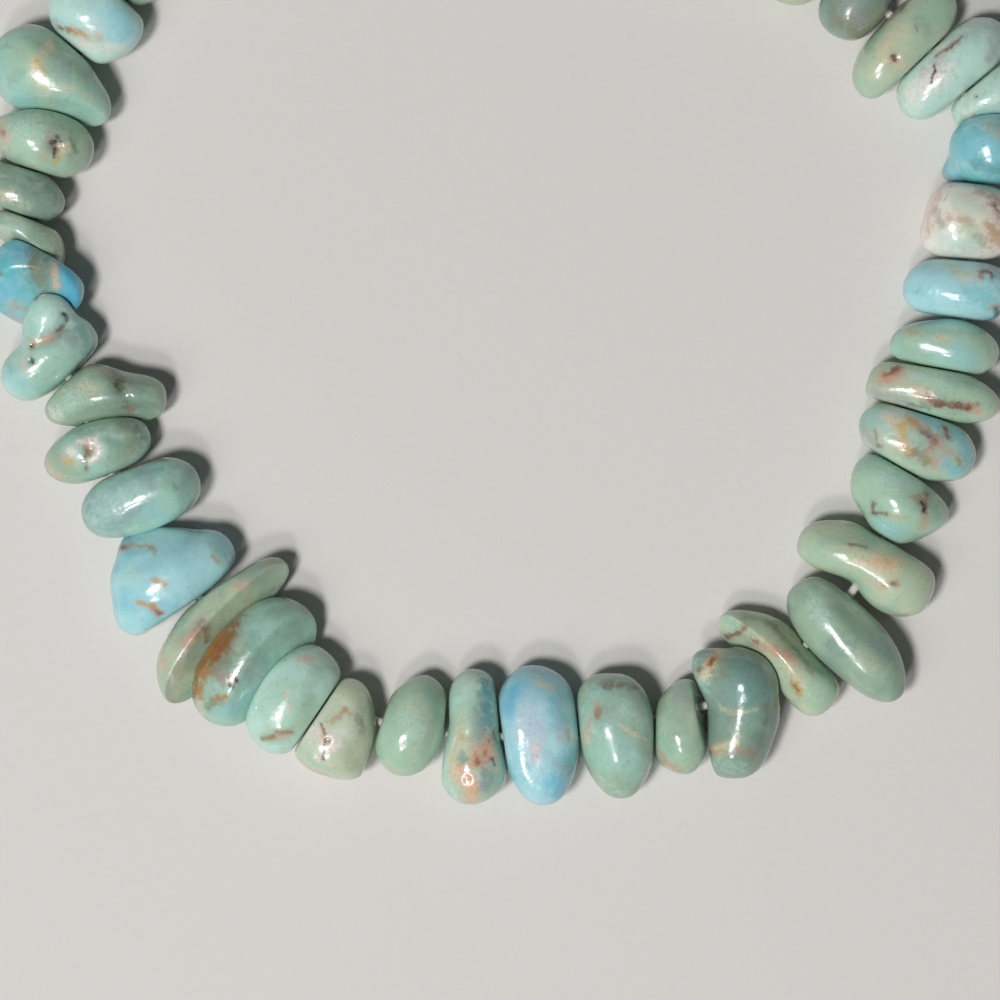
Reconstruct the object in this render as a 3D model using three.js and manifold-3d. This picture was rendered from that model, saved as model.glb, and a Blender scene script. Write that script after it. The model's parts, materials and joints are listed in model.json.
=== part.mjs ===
// Nugget bracelet: polished turquoise nuggets strung on one elastic thread.
// Millimetres, +Z up. The loop lies on a surface at z = 0, with the origin
// at the middle of its box on that surface. Rows run round the loop from the
// upper left, down the left side, along the front and up the right side.
import * as THREE from "three";
import { mergeVertices } from "three/addons/utils/BufferGeometryUtils.js";
import Module from "manifold-3d";

const wasm = await Module();
wasm.setup();

// ---- driving dimensions ----
const threadRadius = 0.32;
const threadHeight = 2.0; // middle of the thread above the surface
const threadSides = 8;
const threadSteps = 64;
const boreRadius = 0.7; // the drilled hole, with slack round the thread
const boreSides = 6;
const drillSpan = 0.4; // the drill follows the route this share of the way to the next hole
const boreReach = 9; // half length of the drill, past any nugget's flank
const neighbourGap = 0.12; // clear air between two nuggets
const runOverlap = 0.4; // how far nuggets of one joined run reach into each other
const seamSoftness = 0.1; // how gently a flank flattens towards its neighbour
const fullness = 1.05; // how much a nugget's charted width is filled out
const restSink = 0.2; // depth of the flat worn where a nugget rests
const heightTaper = 0.6; // share of a nugget's taper that its height follows
const holeLimit = 0.24; // a hole stays within this share of the length from the middle
const holeEasing = 0.5; // share of the way to line each pass moves a hole
const easingPasses = 8;
const strandPoints = 240; // places the strand is laid through
const knotLength = 1.7;
const knotWidth = 1.5;
const knotGap = 0.25; // between a thread end and the knot
const knotSlack = 0.3; // and from there to the nugget beyond it
const nuggetSides = 10; // facets round a nugget's long axis
const nuggetBands = 7; // facets from tip to tip
const knobbySides = 12; // and the same on the nuggets with several knobs
const knobbyBands = 8;
const severalKnobs = 3;
const backSides = 8; // and the same on the plainer nuggets at the back
const backBands = 6;
const knotSides = 8;
const loopMiddle = new THREE.Vector3(0.2, 1.3, 0); // middle of the box round the loop

// ---- nuggets that are seen from above ----
// x, y: middle. length: along the long axis. width: across it, along the
// thread. turn: the long axis from +X. drill: hole from the middle along the
// long axis. tilt: rise of the outer end. roll: lean about the long axis.
// taper: fuller (+) or slimmer (-) outer end. waist: pinch at the middle.
// bend: sideways bow. square: 2 is round, more is blocky. seam: turn of the
// seam with the next nugget from half way between the two long axes.
// over: how far that seam leans, + where the next nugget lies on top.
const columns = ["x", "y", "length", "width", "height", "turn", "drill", "tilt", "roll",
  "taper", "waist", "bend", "square", "seam", "over"];
const rows = [
  [-28.6, 21.4, 6.6, 5.5, 5.2, 138, -0.2, 6, 8, 0, 0, 0, 2.2, 0, 0],
  [-31.7, 17.0, 8.2, 5.3, 5.6, 143, -0.3, -4, -8, 0.18, 0, 0, 2.2, 20, 25],
  [-32.2, 12.5, 7.4, 4.4, 5.2, 164, -0.3, 5, 6, -0.05, 0, 0, 2.2, 0, 0],
  [-33.8, 8.9, 6.5, 4.0, 4.7, 164, -0.4, -6, 12, 0.25, 0, 0, 2.2, 0, 0],
  [-33.6, 5.5, 6.5, 3.7, 4.6, 154, -0.2, 4, -10, 0, 0, -0.9, 2.2, 0, 15],
  [-32.9, 2.7, 6.8, 6.2, 5.2, 145, 0.1, 5, 0, 0, 0, 0, 2.1, 0, 55],
  [-31.6, -2.6, 6.2, 3.8, 4.8, 215, -0.3, 0, 10, 0, 0, 0, 2.2, 27, 0],
  [-27.8, -5.5, 8.0, 4.0, 4.7, 183, 0.7, -3, 12, -0.05, 0, 0, 2.2, -3, 30],
  [-28.4, -9.1, 7.8, 4.0, 4.8, 199, -0.6, 4, -6, 0, 0, 0, 2.2, 0, 0],
  [-25.3, -12.5, 8.6, 4.7, 5.0, 201, 0, -3, 8, 0, 0, 0, 2.3, -8, -38],
  [-23.1, -18.0, 7.6, 5.0, 5.6, 214, -0.2, 3, -6, 0.1, 0, 0, 2.2, -8, 0],
  [-19.8, -21.5, 12.2, 4.0, 5.2, 230, 0.3, 5, 10, 0.1, 0, -1, 2.2, 2, 35],
  [-17.5, -23.9, 10.5, 6.2, 5.6, 227, 0.3, -3, 6, 0, 0, 0, 2.2, 5, 38],
  [-14.7, -26.5, 8.3, 5.4, 5.2, 236, 0.1, 4, -8, 0, 0, 0, 2.3, -8, 0],
  [-11.5, -28.5, 7.2, 5.1, 5.0, 252, -0.6, -3, 5, 0.33, 0, 0, 2.4, 0, 0],
  [-6.3, -28.4, 7.4, 4.7, 5.0, 250, -0.1, 5, -8, 0.05, 0, 0, 2.0, 8, 0],
  [-2.1, -29.2, 8.2, 3.6, 4.6, 264, -0.5, -3, 6, 0.1, 0.1, 0, 2.2, 8, 0],
  [2.5, -29.0, 10.0, 5.6, 5.4, 276, -0.3, 3, -4, -0.12, 0, 0, 2.15, 0, 0],
  [8.0, -29.1, 8.7, 5.3, 5.3, 276, -0.4, -3, 6, -0.1, 0, 0, 2.25, 0, 0],
  [12.6, -28.6, 6.9, 4.1, 4.5, 262, -0.5, 5, -10, 0, 0, 0, 2.1, 20, 12],
  [17.1, -27.5, 7.0, 3.7, 5.0, 263, -1.0, 3, 5, 0, 0, 0, 2.2, 12, -38],
  [19.5, -23.8, 9.0, 3.0, 4.6, 324, 0.1, -4, 10, 0, 0, 0.3, 2.2, 0, 30],
  [24.1, -22.4, 11.0, 4.6, 5.1, 313, -0.4, 4, -10, -0.08, 0, 0, 2.2, 0, 10],
  [25.5, -17.3, 8.8, 3.2, 4.8, 336, 0.2, -3, 8, 0, 0, 0.7, 2.2, 0, 0],
  [27.7, -12.6, 6.2, 4.4, 5.0, 320, 0.2, 4, 0, 0, 0, 0, 2.1, 0, 0],
  [29.1, -8.5, 8.5, 4.5, 4.9, 338, 0.2, -3, 8, 0, 0, 0, 2.3, 0, 0],
  [30.1, -5.1, 9.6, 3.8, 4.8, 348, 0, 4, -8, 0, 0, 0.2, 2.2, 0, 0],
  [31.1, -1.9, 7.5, 3.6, 4.7, 352, -0.2, -4, 6, 0.15, 0, 0, 2.2, 0, 0],
  [32.0, 2.2, 7.5, 4.2, 5.0, 352, -0.2, 3, 5, 0.1, 0, 0, 2.2, 0, 0],
  [32.7, 6.9, 6.4, 5.1, 5.2, 355, -0.1, -3, -5, 0, 0, 0, 2.6, -3, 0],
  [34.0, 11.9, 5.4, 5.2, 5.4, 0, -0.6, 3, 0, 0, 0, 0, 2.2, -12, -25],
  [34.3, 15.8, 6.5, 3.9, 4.8, 40, -1.2, -3, 10, 0, 0, 0, 2.3, 0, 0],
  [31.6, 17.8, 9.0, 4.5, 4.9, 39, 0.1, 4, -10, 0, 0, 0, 2.2, 0, 0],
  [28.1, 19.4, 9.6, 4.1, 5.0, 48, 1.0, -3, 10, 0, 0, 0, 2.3, 0, 0],
  [24.7, 22.2, 5.6, 4.4, 5.0, 50, 0.3, 3, 0, 0, 0, 0, 2.2, 0, 0],
  [20.6, 24.4, 4.8, 4.2, 4.7, 68, 0.3, 0, 6, 0, 0, 0, 2.3, 0, 0],
];

// ---- swells (+) and dents (-) ----
// bearing: from the nugget's middle, round from +X. rise: up from level.
// amount: how far the skin stands out. spread: how wide, in degrees.
const lobeColumns = ["nugget", "bearing", "rise", "amount", "spread"];
const lobeRows = [
  [2, 215, 0, 0.5, 35],
  [7, 165, 20, -0.3, 26],
  [8, 40, 18, -0.4, 26],
  [11, 80, 20, -0.3, 25],
  [15, 320, 0, 0.4, 30],
  [18, 90, 70, -0.35, 30],
  [19, 125, 0, 0.4, 30],
  [20, 235, -30, 0.5, 22],
  [33, 285, 0, 0.4, 30],
];

// ---- round knobs that run into a nugget's body ----
// right, up, rise: the knob's middle from the nugget's middle, along X, Y and Z.
const knobColumns = ["nugget", "right", "up", "rise", "radius"];
const knobRows = [
  [1, 0.3, -2.3, 0, 1.05],
  [1, 1.5, -0.9, 0.1, 1.7],
  [2, -1.8, 0.9, 0.2, 2.2],
  [2, 2.6, -2.1, -0.3, 1.6],
  [3, 0.6, -1.5, -0.1, 1.1],
  [6, 1.7, -0.8, 0, 1.7],
  [7, 1.6, 1.4, -0.1, 1.5],
  [7, -1.8, -1.3, 0, 1.8],
  [7, -0.1, 3.2, 1.0, 1.6],
  [7, -0.5, 1.8, 0.6, 1.4],
  [8, 2.7, 0.2, 0, 1.55],
  [8, -0.6, 1.1, 0.2, 1.4],
  [8, -3.3, -0.9, -0.1, 0.9],
  [11, -2.3, -2.4, 0, 1.75],
  [11, 2.6, 1.4, 0, 1.75],
  [11, -2.0, 2.2, 0.1, 1.75],
  [11, -2.3, -0.3, 0, 2.05],
  [11, 0.2, 1.7, 0, 1.75],
  [12, 3.5, 3.5, 0, 1.35],
  [12, -2.7, -2.6, 0, 1.7],
  [12, -2.5, -4.0, 0, 1.55],
  [13, 2.8, 1.3, 0, 1.85],
  [16, -1.3, 0.2, 0, 1.3],
  [17, 0.05, 2.75, 0, 1.85],
  [17, -0.2, -2.3, 0, 2.2],
  [17, 0.4, -2.2, 0, 2.1],
  [21, -0.3, 2.2, 0.6, 2.4],
  [21, -2.9, 3.0, 0.5, 1.6],
  [21, -0.8, -2.5, 0, 2.1],
  [21, -2.0, -3.0, -0.1, 1.25],
  [21, -0.3, 0, 0, 2.4],
  [22, -3.2, 2.1, 0, 1.4],
  [22, -1.6, 1.9, 0.1, 1.45],
  [22, -0.1, 1.3, 0.1, 1.45],
  [22, 2.2, -2.2, 0, 1.75],
  [22, 0.9, -0.3, 0.1, 1.6],
  [24, -3.2, 1.5, 0, 1.7],
  [24, -1.3, 1.7, 0.1, 1.5],
  [24, 1.0, 0.1, 0.1, 1.7],
  [24, 2.7, -1.2, 0, 2.1],
  [24, 1.6, -1.5, 0, 2.0],
  [25, -1.6, 1.3, 0, 1.8],
  [25, 2.3, -1.0, 0, 1.2],
  [25, -0.3, -1.3, 0, 1.7],
  [26, -2.6, 0.5, 0, 1.6],
  [27, -3.2, 0.4, 0, 1.45],
  [28, 0.9, 0.1, 0, 1.95],
  [28, -3.1, 0, 0, 0.75],
  [29, -2.4, -0.3, 0, 1.5],
  [30, -2.2, -1.2, 0, 1.25],
  [30, -0.9, 1.1, 0, 1.45],
  [31, -2.5, -1.6, -1.2, 0.8],
  [33, -2.3, -2.0, 0, 1.55],
];
const knobGrowth = 0.08; // added to every charted radius
const knobBlend = 0.3; // how softly a knob runs into the body
const farReach = 9; // past any nugget's skin
const halvings = 18; // halvings that find the skin along a ray

// ---- nuggets at the back, in runs joined along the thread ----
// They stand side by side on a plain arch from the last row above to the first.
const backColumns = ["run", "length", "width", "height", "lean", "drill", "taper", "square"];
const backRows = [
  [1, 6.4, 5.6, 4.9, 3, 0.2, 0.03, 2.4],
  [1, 8.6, 6.2, 5.3, -3, -0.3, -0.05, 2.3],
  [1, 6.8, 5.6, 5.0, 4, 0.1, 0.05, 2.4],
  [1, 8.0, 6.0, 5.1, -3, 0.3, 0, 2.3],
  [2, 7.2, 5.6, 5.0, 4, -0.2, 0.05, 2.4],
  [2, 9.0, 6.3, 5.4, -4, 0.2, -0.05, 2.3],
  [2, 7.6, 5.6, 5.0, 3, -0.1, 0.05, 2.3],
  [3, 8.2, 6.1, 5.2, 3, 0.2, 0.05, 2.3],
  [3, 7.0, 5.9, 5.1, -4, -0.2, -0.05, 2.4],
  [3, 6.6, 6.0, 4.9, 3, 0.1, 0.05, 2.4],
];
const archHandleRight = [9.0, 34.5];
const archHandleLeft = [-22.0, 36.0];
const knotAfterRun = 2;

const degrees = Math.PI / 180;
const named = (names, row) => Object.fromEntries(names.map((name, i) => [name, row[i]]));
const plain = {
  tilt: 0, roll: 0, waist: 0, bend: 0, seam: 0, over: 0, run: 0, lobes: [], knobs: [],
};

// The nuggets of the back, side by side along the arch, with room for the knot.
function backNuggets(last, first) {
  const arch = new THREE.CubicBezierCurve3(
    new THREE.Vector3(last.x, last.y, 0), new THREE.Vector3(...archHandleRight, 0),
    new THREE.Vector3(...archHandleLeft, 0), new THREE.Vector3(first.x, first.y, 0));
  const list = backRows.map((row) => ({ ...plain, ...named(backColumns, row) }));
  const knotRoom = knotLength + 2 * (knotGap + knotSlack);
  const widths = list.reduce((sum, row) => sum + row.width, (last.width + first.width) / 2);
  const packing = (arch.getLength() - knotRoom) / widths;
  let reached = packing * last.width / 2;
  for (const row of list) {
    const share = (reached + packing * row.width / 2) / arch.getLength();
    const place = arch.getPointAt(share);
    const along = arch.getTangentAt(share);
    row.x = place.x;
    row.y = place.y;
    row.turn = Math.atan2(along.y, along.x) / degrees - 90 + row.lean;
    reached += packing * row.width;
    const next = list[list.indexOf(row) + 1];
    if (row.run === knotAfterRun && next.run !== knotAfterRun) reached += knotRoom;
  }
  return list;
}

const seen = rows.map((row) => ({ ...plain, ...named(columns, row) }));
const back = backNuggets(seen[seen.length - 1], seen[0]);
const loop = [...seen, ...back];
const lobes = lobeRows.map((row) => named(lobeColumns, row));
const knobs = knobRows.map((row) => named(knobColumns, row));
seen.forEach((row, index) => {
  row.lobes = lobes.filter((lobe) => lobe.nugget === index + 1).map((lobe) => ({
    ...lobe,
    toward: new THREE.Vector3(1, 0, 0)
      .applyAxisAngle(new THREE.Vector3(0, 1, 0), -lobe.rise * degrees)
      .applyAxisAngle(new THREE.Vector3(0, 0, 1), (lobe.bearing - row.turn) * degrees),
  }));
  row.knobs = knobs.filter((knob) => knob.nugget === index + 1).map((knob) => ({
    radius: knob.radius + knobGrowth,
    middle: new THREE.Vector3(knob.right, knob.up, knob.rise)
      .applyAxisAngle(new THREE.Vector3(0, 0, 1), -row.turn * degrees),
  }));
});
loop.forEach((row) => {
  row.axis = new THREE.Vector3(Math.cos(row.turn * degrees), Math.sin(row.turn * degrees), 0);
});

// The body and its round knobs as one smooth skin, found by halving along a ray.
function knobbed(row, point) {
  if (row.knobs.length === 0) return point;
  const body = point.length();
  const toward = point.clone().normalize();
  const place = new THREE.Vector3();
  let [inner, outer] = [0, farReach];
  for (let i = 0; i < halvings; i++) {
    const halfWay = (inner + outer) / 2;
    place.copy(toward).multiplyScalar(halfWay);
    const skin = row.knobs.reduce(
      (sum, knob) => sum + Math.exp((knob.radius - place.distanceTo(knob.middle)) / knobBlend),
      Math.exp((body - halfWay) / knobBlend));
    if (skin > 1) inner = halfWay;
    else outer = halfWay;
  }
  return toward.multiplyScalar(inner);
}

// A point of the unit ball carried to the nugget's surface, about its middle.
function shapePoint(row, ball) {
  const k = row.square;
  const norm = (Math.abs(ball.x) ** k + Math.abs(ball.y) ** k + Math.abs(ball.z) ** k) ** (-1 / k);
  const u = ball.x * norm;
  const pinch = (1 + row.taper * u) * (1 - row.waist * (1 - u * u) ** 2);
  const bow = row.bend * (0.5 - u * u);
  const point = new THREE.Vector3(
    u * row.length / 2,
    ball.y * norm * pinch * fullness * row.width / 2 + bow,
    ball.z * norm * (1 + heightTaper * row.taper * u) * row.height / 2);
  point.applyAxisAngle(new THREE.Vector3(1, 0, 0), row.roll * degrees);
  point.applyAxisAngle(new THREE.Vector3(0, 1, 0), -row.tilt * degrees);
  for (const lobe of row.lobes) {
    const off = point.angleTo(lobe.toward) / (lobe.spread * degrees);
    point.addScaledVector(lobe.toward, lobe.amount * Math.exp(-off * off));
  }
  return knobbed(row, point);
}

// How many facets a nugget has round its long axis and from tip to tip.
function facets(row) {
  if (row.run > 0) return [backSides, backBands];
  return row.knobs.length < severalKnobs ? [nuggetSides, nuggetBands] : [knobbySides, knobbyBands];
}

// The faceted ball of a nugget, its poles at the two tips, a flat side down.
function rawShape(row) {
  const [sides, bands] = facets(row);
  const geometry = new THREE.SphereGeometry(1, sides, bands);
  geometry.rotateY(Math.PI / sides);
  geometry.rotateZ(Math.PI / 2);
  const position = geometry.attributes.position;
  const point = new THREE.Vector3();
  for (let i = 0; i < position.count; i++) {
    point.fromBufferAttribute(position, i);
    position.setXYZ(i, ...shapePoint(row, point));
  }
  return geometry;
}

for (const row of loop) {
  row.geometry = rawShape(row);
  row.geometry.computeBoundingBox();
  row.middle = new THREE.Vector3(row.x, row.y, -row.geometry.boundingBox.min.z - restSink);
  row.placement = new THREE.Matrix4().makeRotationZ(row.turn * degrees).setPosition(row.middle);
}

// How far a nugget reaches from its middle along a direction.
function reach(row, direction) {
  const position = row.geometry.attributes.position;
  const point = new THREE.Vector3();
  let far = 0;
  for (let i = 0; i < position.count; i++) {
    point.fromBufferAttribute(position, i).applyMatrix4(row.placement).sub(row.middle);
    far = Math.max(far, point.dot(direction));
  }
  return far;
}

// The plane between two neighbours, half way through what they share.
function seamPlane(row, next) {
  const across = row.axis.clone().add(next.axis).normalize()
    .applyAxisAngle(new THREE.Vector3(0, 0, 1), row.seam * degrees);
  const normal = new THREE.Vector3(across.y, -across.x, 0);
  const apart = next.middle.clone().sub(row.middle);
  if (normal.dot(apart) < 0) normal.negate();
  normal.multiplyScalar(Math.cos(row.over * degrees)).setZ(Math.sin(row.over * degrees));
  const shared = reach(row, normal) + reach(next, normal.clone().negate()) - apart.dot(normal);
  const offset = row.middle.dot(normal) + reach(row, normal) - shared / 2;
  const joined = row.run > 0 && row.run === next.run;
  return { normal, offset, clear: joined ? -runOverlap / 2 : neighbourGap / 2 };
}

// A point drawn back smoothly to its own side of a plane.
function heldBack(point, normal, limit) {
  const distance = point.dot(normal);
  const held = limit - seamSoftness * Math.log1p(Math.exp((limit - distance) / seamSoftness));
  point.addScaledVector(normal, held - distance);
}

loop.forEach((row, i) => {
  row.plane = seamPlane(row, loop[(i + 1) % loop.length]);
});

// Flanks eased off the neighbours on both sides.
loop.forEach((row, i) => {
  const before = loop[(i + loop.length - 1) % loop.length].plane;
  const away = before.normal.clone().negate();
  const position = row.geometry.attributes.position;
  const inverse = row.placement.clone().invert();
  const point = new THREE.Vector3();
  for (let j = 0; j < position.count; j++) {
    point.fromBufferAttribute(position, j).applyMatrix4(row.placement);
    heldBack(point, row.plane.normal, row.plane.offset - row.plane.clear);
    heldBack(point, away, -before.offset - before.clear);
    position.setXYZ(j, ...point.applyMatrix4(inverse));
  }
});

// ---- thread: through every drilled hole, open where the knot ties it ----
function holeOf(row) {
  return new THREE.Vector3(row.x, row.y, threadHeight).addScaledVector(row.axis, row.drill);
}

const crossed = (a, b) => a.x * b.y - a.y * b.x;
const meanDrill = () => loop.reduce((sum, row) => sum + row.drill, 0) / loop.length;

// The pull of the thread draws each hole along its nugget, part of the way to the
// straight line between the two holes beside it, and the loop keeps its size.
function easeHoles() {
  const holes = loop.map(holeOf);
  const before = meanDrill();
  loop.forEach((row, i) => {
    const last = holes[(i + loop.length - 1) % loop.length];
    const chord = holes[(i + 1) % loop.length].clone().sub(last);
    const inLine = crossed(last.clone().sub(row.middle), chord) / crossed(row.axis, chord);
    row.drill += holeEasing * (inLine - row.drill);
  });
  const slip = meanDrill() - before;
  for (const row of loop) {
    const limit = holeLimit * row.length;
    row.drill = THREE.MathUtils.clamp(row.drill - slip, -limit, limit);
  }
}
for (let pass = 0; pass < easingPasses; pass++) easeHoles();
for (const row of loop) row.hole = holeOf(row);
const afterKnot = loop.findIndex((row) => row.run === knotAfterRun + 1);
const strung = [...loop.slice(afterKnot), ...loop.slice(0, afterKnot)];
const knotPlace = strung[0].hole.clone().lerp(strung[strung.length - 1].hole, 0.5);
const route = new THREE.CatmullRomCurve3(
  [knotPlace, ...strung.map((row) => row.hole)], true, "centripetal");

// The strand itself, from one side of the knot round the loop to the other.
function strandPath() {
  const cut = (knotLength / 2 + knotGap) / route.getLength();
  const points = Array.from({ length: strandPoints + 1 }, (unused, i) =>
    route.getPointAt(cut + (1 - 2 * cut) * i / strandPoints));
  return new THREE.CatmullRomCurve3(points, false, "centripetal");
}

function solidOf(geometry) {
  const bare = geometry.clone();
  bare.deleteAttribute("normal");
  bare.deleteAttribute("uv");
  const merged = mergeVertices(bare, 1e-5);
  const mesh = new wasm.Mesh({
    numProp: 3,
    vertProperties: new Float32Array(merged.attributes.position.array),
    triVerts: new Uint32Array(merged.index.array),
  });
  return new wasm.Manifold(mesh);
}

function geometryOf(solid) {
  const mesh = solid.getMesh();
  const geometry = new THREE.BufferGeometry();
  geometry.setAttribute("position", new THREE.BufferAttribute(new Float32Array(mesh.vertProperties), 3));
  geometry.setIndex(new THREE.BufferAttribute(new Uint32Array(mesh.triVerts), 1));
  geometry.computeVertexNormals();
  return geometry;
}

// A nugget's solid in its own frame, its base worn flat, drilled straight along the thread.
function drilled(row) {
  const knots = strung.length + 1;
  const place = (strung.indexOf(row) + 1) / knots;
  const [from, to] = [-drillSpan, drillSpan].map((span) => route.getPoint(place + span / knots));
  const along = to.clone().sub(from).normalize();
  const middle = from.add(to).add(row.hole).divideScalar(3).sub(row.middle);
  const drill = new THREE.CylinderGeometry(boreRadius, boreRadius, 2 * boreReach, boreSides);
  drill.applyQuaternion(new THREE.Quaternion().setFromUnitVectors(new THREE.Vector3(0, 1, 0), along));
  drill.translate(...middle);
  drill.rotateZ(-row.turn * degrees);
  return solidOf(row.geometry).trimByPlane([0, 0, 1], -row.middle.z).subtract(solidOf(drill));
}

// ---- materials ----
const tints = { sky: "#62b2cb", aqua: "#86c1b4", teal: "#56938d", sage: "#8ea890" };
const stoneRoughness = 0.22;
const threadColour = "#efe6e0";
const threadRoughness = 0.35;
const skyNuggets = [1, 6, 11, 18, 26, 29, 31];
const aquaNuggets = [2, 7, 13, 14, 15, 22, 25, 27, 28, 30];
const tealNuggets = [10, 17, 19, 21, 35];
const runTints = { 1: "sage", 2: "aqua", 3: "teal" };

function tintOf(number) {
  if (skyNuggets.includes(number)) return "sky";
  if (aquaNuggets.includes(number)) return "aqua";
  return tealNuggets.includes(number) ? "teal" : "sage";
}

const finish = (color, roughness) => new THREE.MeshStandardMaterial({ color, roughness, metalness: 0 });
const stone = (tint) => finish(tints[tint], stoneRoughness);

// ---- the pieces ----
const bracelet = new THREE.Group();

function addMesh(name, geometry, material, place = new THREE.Vector3(), turn = 0) {
  const mesh = new THREE.Mesh(geometry, material);
  mesh.name = name;
  mesh.position.copy(place).sub(loopMiddle);
  mesh.rotation.z = turn * degrees;
  bracelet.add(mesh);
}

seen.forEach((row, index) => {
  const name = `nugget_${String(index + 1).padStart(2, "0")}`;
  addMesh(name, geometryOf(drilled(row)), stone(tintOf(index + 1)), row.middle, row.turn);
});

for (const run of new Set(back.map((row) => row.run))) {
  const joined = back.filter((row) => row.run === run)
    .map((row) => drilled(row).rotate([0, 0, row.turn]).translate(row.middle.toArray()))
    .reduce((whole, solid) => whole.add(solid));
  addMesh(`back_run_${run}`, geometryOf(joined), stone(runTints[run]));
}

const section = new THREE.Shape(Array.from({ length: threadSides }, (unused, i) => {
  const angle = 2 * Math.PI * i / threadSides;
  return new THREE.Vector2(threadRadius * Math.cos(angle), threadRadius * Math.sin(angle));
}));
const strand = new THREE.ExtrudeGeometry(section, { steps: threadSteps, extrudePath: strandPath() });
addMesh("thread", geometryOf(solidOf(strand)), finish(threadColour, threadRoughness));

const knot = new THREE.SphereGeometry(0.5, knotSides, knotSides / 2 + 1);
knot.rotateZ(Math.PI / 2);
knot.scale(knotLength, knotWidth, knotWidth);
const knotTangent = route.getTangent(0);
const knotTurn = Math.atan2(knotTangent.y, knotTangent.x) / degrees;
addMesh("knot", geometryOf(solidOf(knot)), finish(threadColour, threadRoughness), knotPlace, knotTurn);

export default bracelet;
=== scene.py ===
"""Nugget bracelet: polished turquoise nuggets on one elastic thread, on a pale table.

Sizes below are millimetres in the frame of the part: +Z up, the table at z = 0.
Pieces are shaped in millimetres and carried to metres when they are finished.
"""
import json
import math
import random
from itertools import groupby

import bmesh
import bpy
import numpy as np
from bpy.props import FloatProperty, FloatVectorProperty, IntProperty, PointerProperty
from mathutils import Matrix, Vector, noise
from mathutils.bvhtree import BVHTree


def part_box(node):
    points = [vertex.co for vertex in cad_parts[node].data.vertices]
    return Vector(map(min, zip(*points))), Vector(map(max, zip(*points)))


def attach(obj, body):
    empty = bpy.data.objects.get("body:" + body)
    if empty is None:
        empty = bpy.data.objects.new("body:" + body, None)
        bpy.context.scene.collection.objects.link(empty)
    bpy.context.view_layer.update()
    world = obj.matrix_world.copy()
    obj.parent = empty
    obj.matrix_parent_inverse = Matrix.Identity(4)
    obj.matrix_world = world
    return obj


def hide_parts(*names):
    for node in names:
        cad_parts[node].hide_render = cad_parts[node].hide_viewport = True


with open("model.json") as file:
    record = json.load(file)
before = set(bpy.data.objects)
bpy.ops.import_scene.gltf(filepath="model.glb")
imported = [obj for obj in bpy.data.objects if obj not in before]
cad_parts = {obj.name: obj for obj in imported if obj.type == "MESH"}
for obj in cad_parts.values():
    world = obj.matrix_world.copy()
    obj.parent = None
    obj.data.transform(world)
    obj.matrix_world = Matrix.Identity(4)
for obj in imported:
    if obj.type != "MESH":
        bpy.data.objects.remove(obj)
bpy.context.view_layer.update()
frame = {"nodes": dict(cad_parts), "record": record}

bl_info = {
    "name": "Nugget bracelet",
    "version": (1, 0, 0),
    "blender": (4, 5, 0),
    "location": "View3D > Sidebar > Nugget bracelet",
    "description": "Polished turquoise nuggets strung on an elastic thread",
    "category": "Object",
}

# ---- sizes ----
METRES = 0.001
LOOP_MIDDLE = (0.2, 1.3)  # middle of the box round the loop, where the frame has its origin
HEIGHT_TAPER = 0.6  # share of a nugget's taper that its height follows
FULLNESS = 1.05  # how much a nugget's charted width is filled out
REST_SINK = 0.2  # depth of the flat worn where a nugget rests
GAP = 0.05  # clear air between two nuggets
SEAM_SOFTNESS = 0.09  # how gently a flank flattens towards its neighbour
LAST_SOFTNESS = 0.03  # the same, once the nugget is polished and held back again
SMOOTH_PASSES = 24  # rounds of smoothing that polish every edge away
SMOOTH_FACTOR = 0.5  # how far a round moves a point towards its neighbours
BORE_SWELL = 0.14  # slack between the thread and the drilled hole
SHARP_ANGLE = 50  # degrees from which an edge, such as a hole's rim, stays sharp
MERGE_REACH = 1e-6  # metres within which two points become one
THREAD_ROUNDING = 2  # levels of subdivision that round the thread off

# The arch of the back, and the bare thread in it.
ARCH_HANDLE_RIGHT = (9.0, 34.5)
ARCH_HANDLE_LEFT = (-22.0, 36.0)
ARCH_STEPS = 400
ARCH_LOOK = 0.1  # how far ahead and behind the arch is looked at for its direction
KNOT_ROOM = 2.8  # length of thread left bare for the knot
KNOT_AFTER_RUN = 2
KNOT_STEPS = 64  # points along the line of the knot
KNOT_ROUNDING = 3  # how finely the knot's thread is rounded

# What tumbling leaves on every nugget: uneven swells, and a few soft flats at random.
SWELL_SCALE = 0.33  # broad swells to a millimetre
FINE_SCALE = 0.8  # fine swells to a millimetre
FINE_SHARE = 0.35  # how high the fine swells are against the broad
SWELL_SHIFT = 50  # how far apart the nuggets may lie in the field of swells
RANDOM_FLATS = 3
FLAT_RISE = (-10, 75)  # degrees from level that a flat may face
FLAT_DEPTH = (0.04, 0.14)
FLAT_SOFTNESS = (0.12, 0.25)

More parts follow.
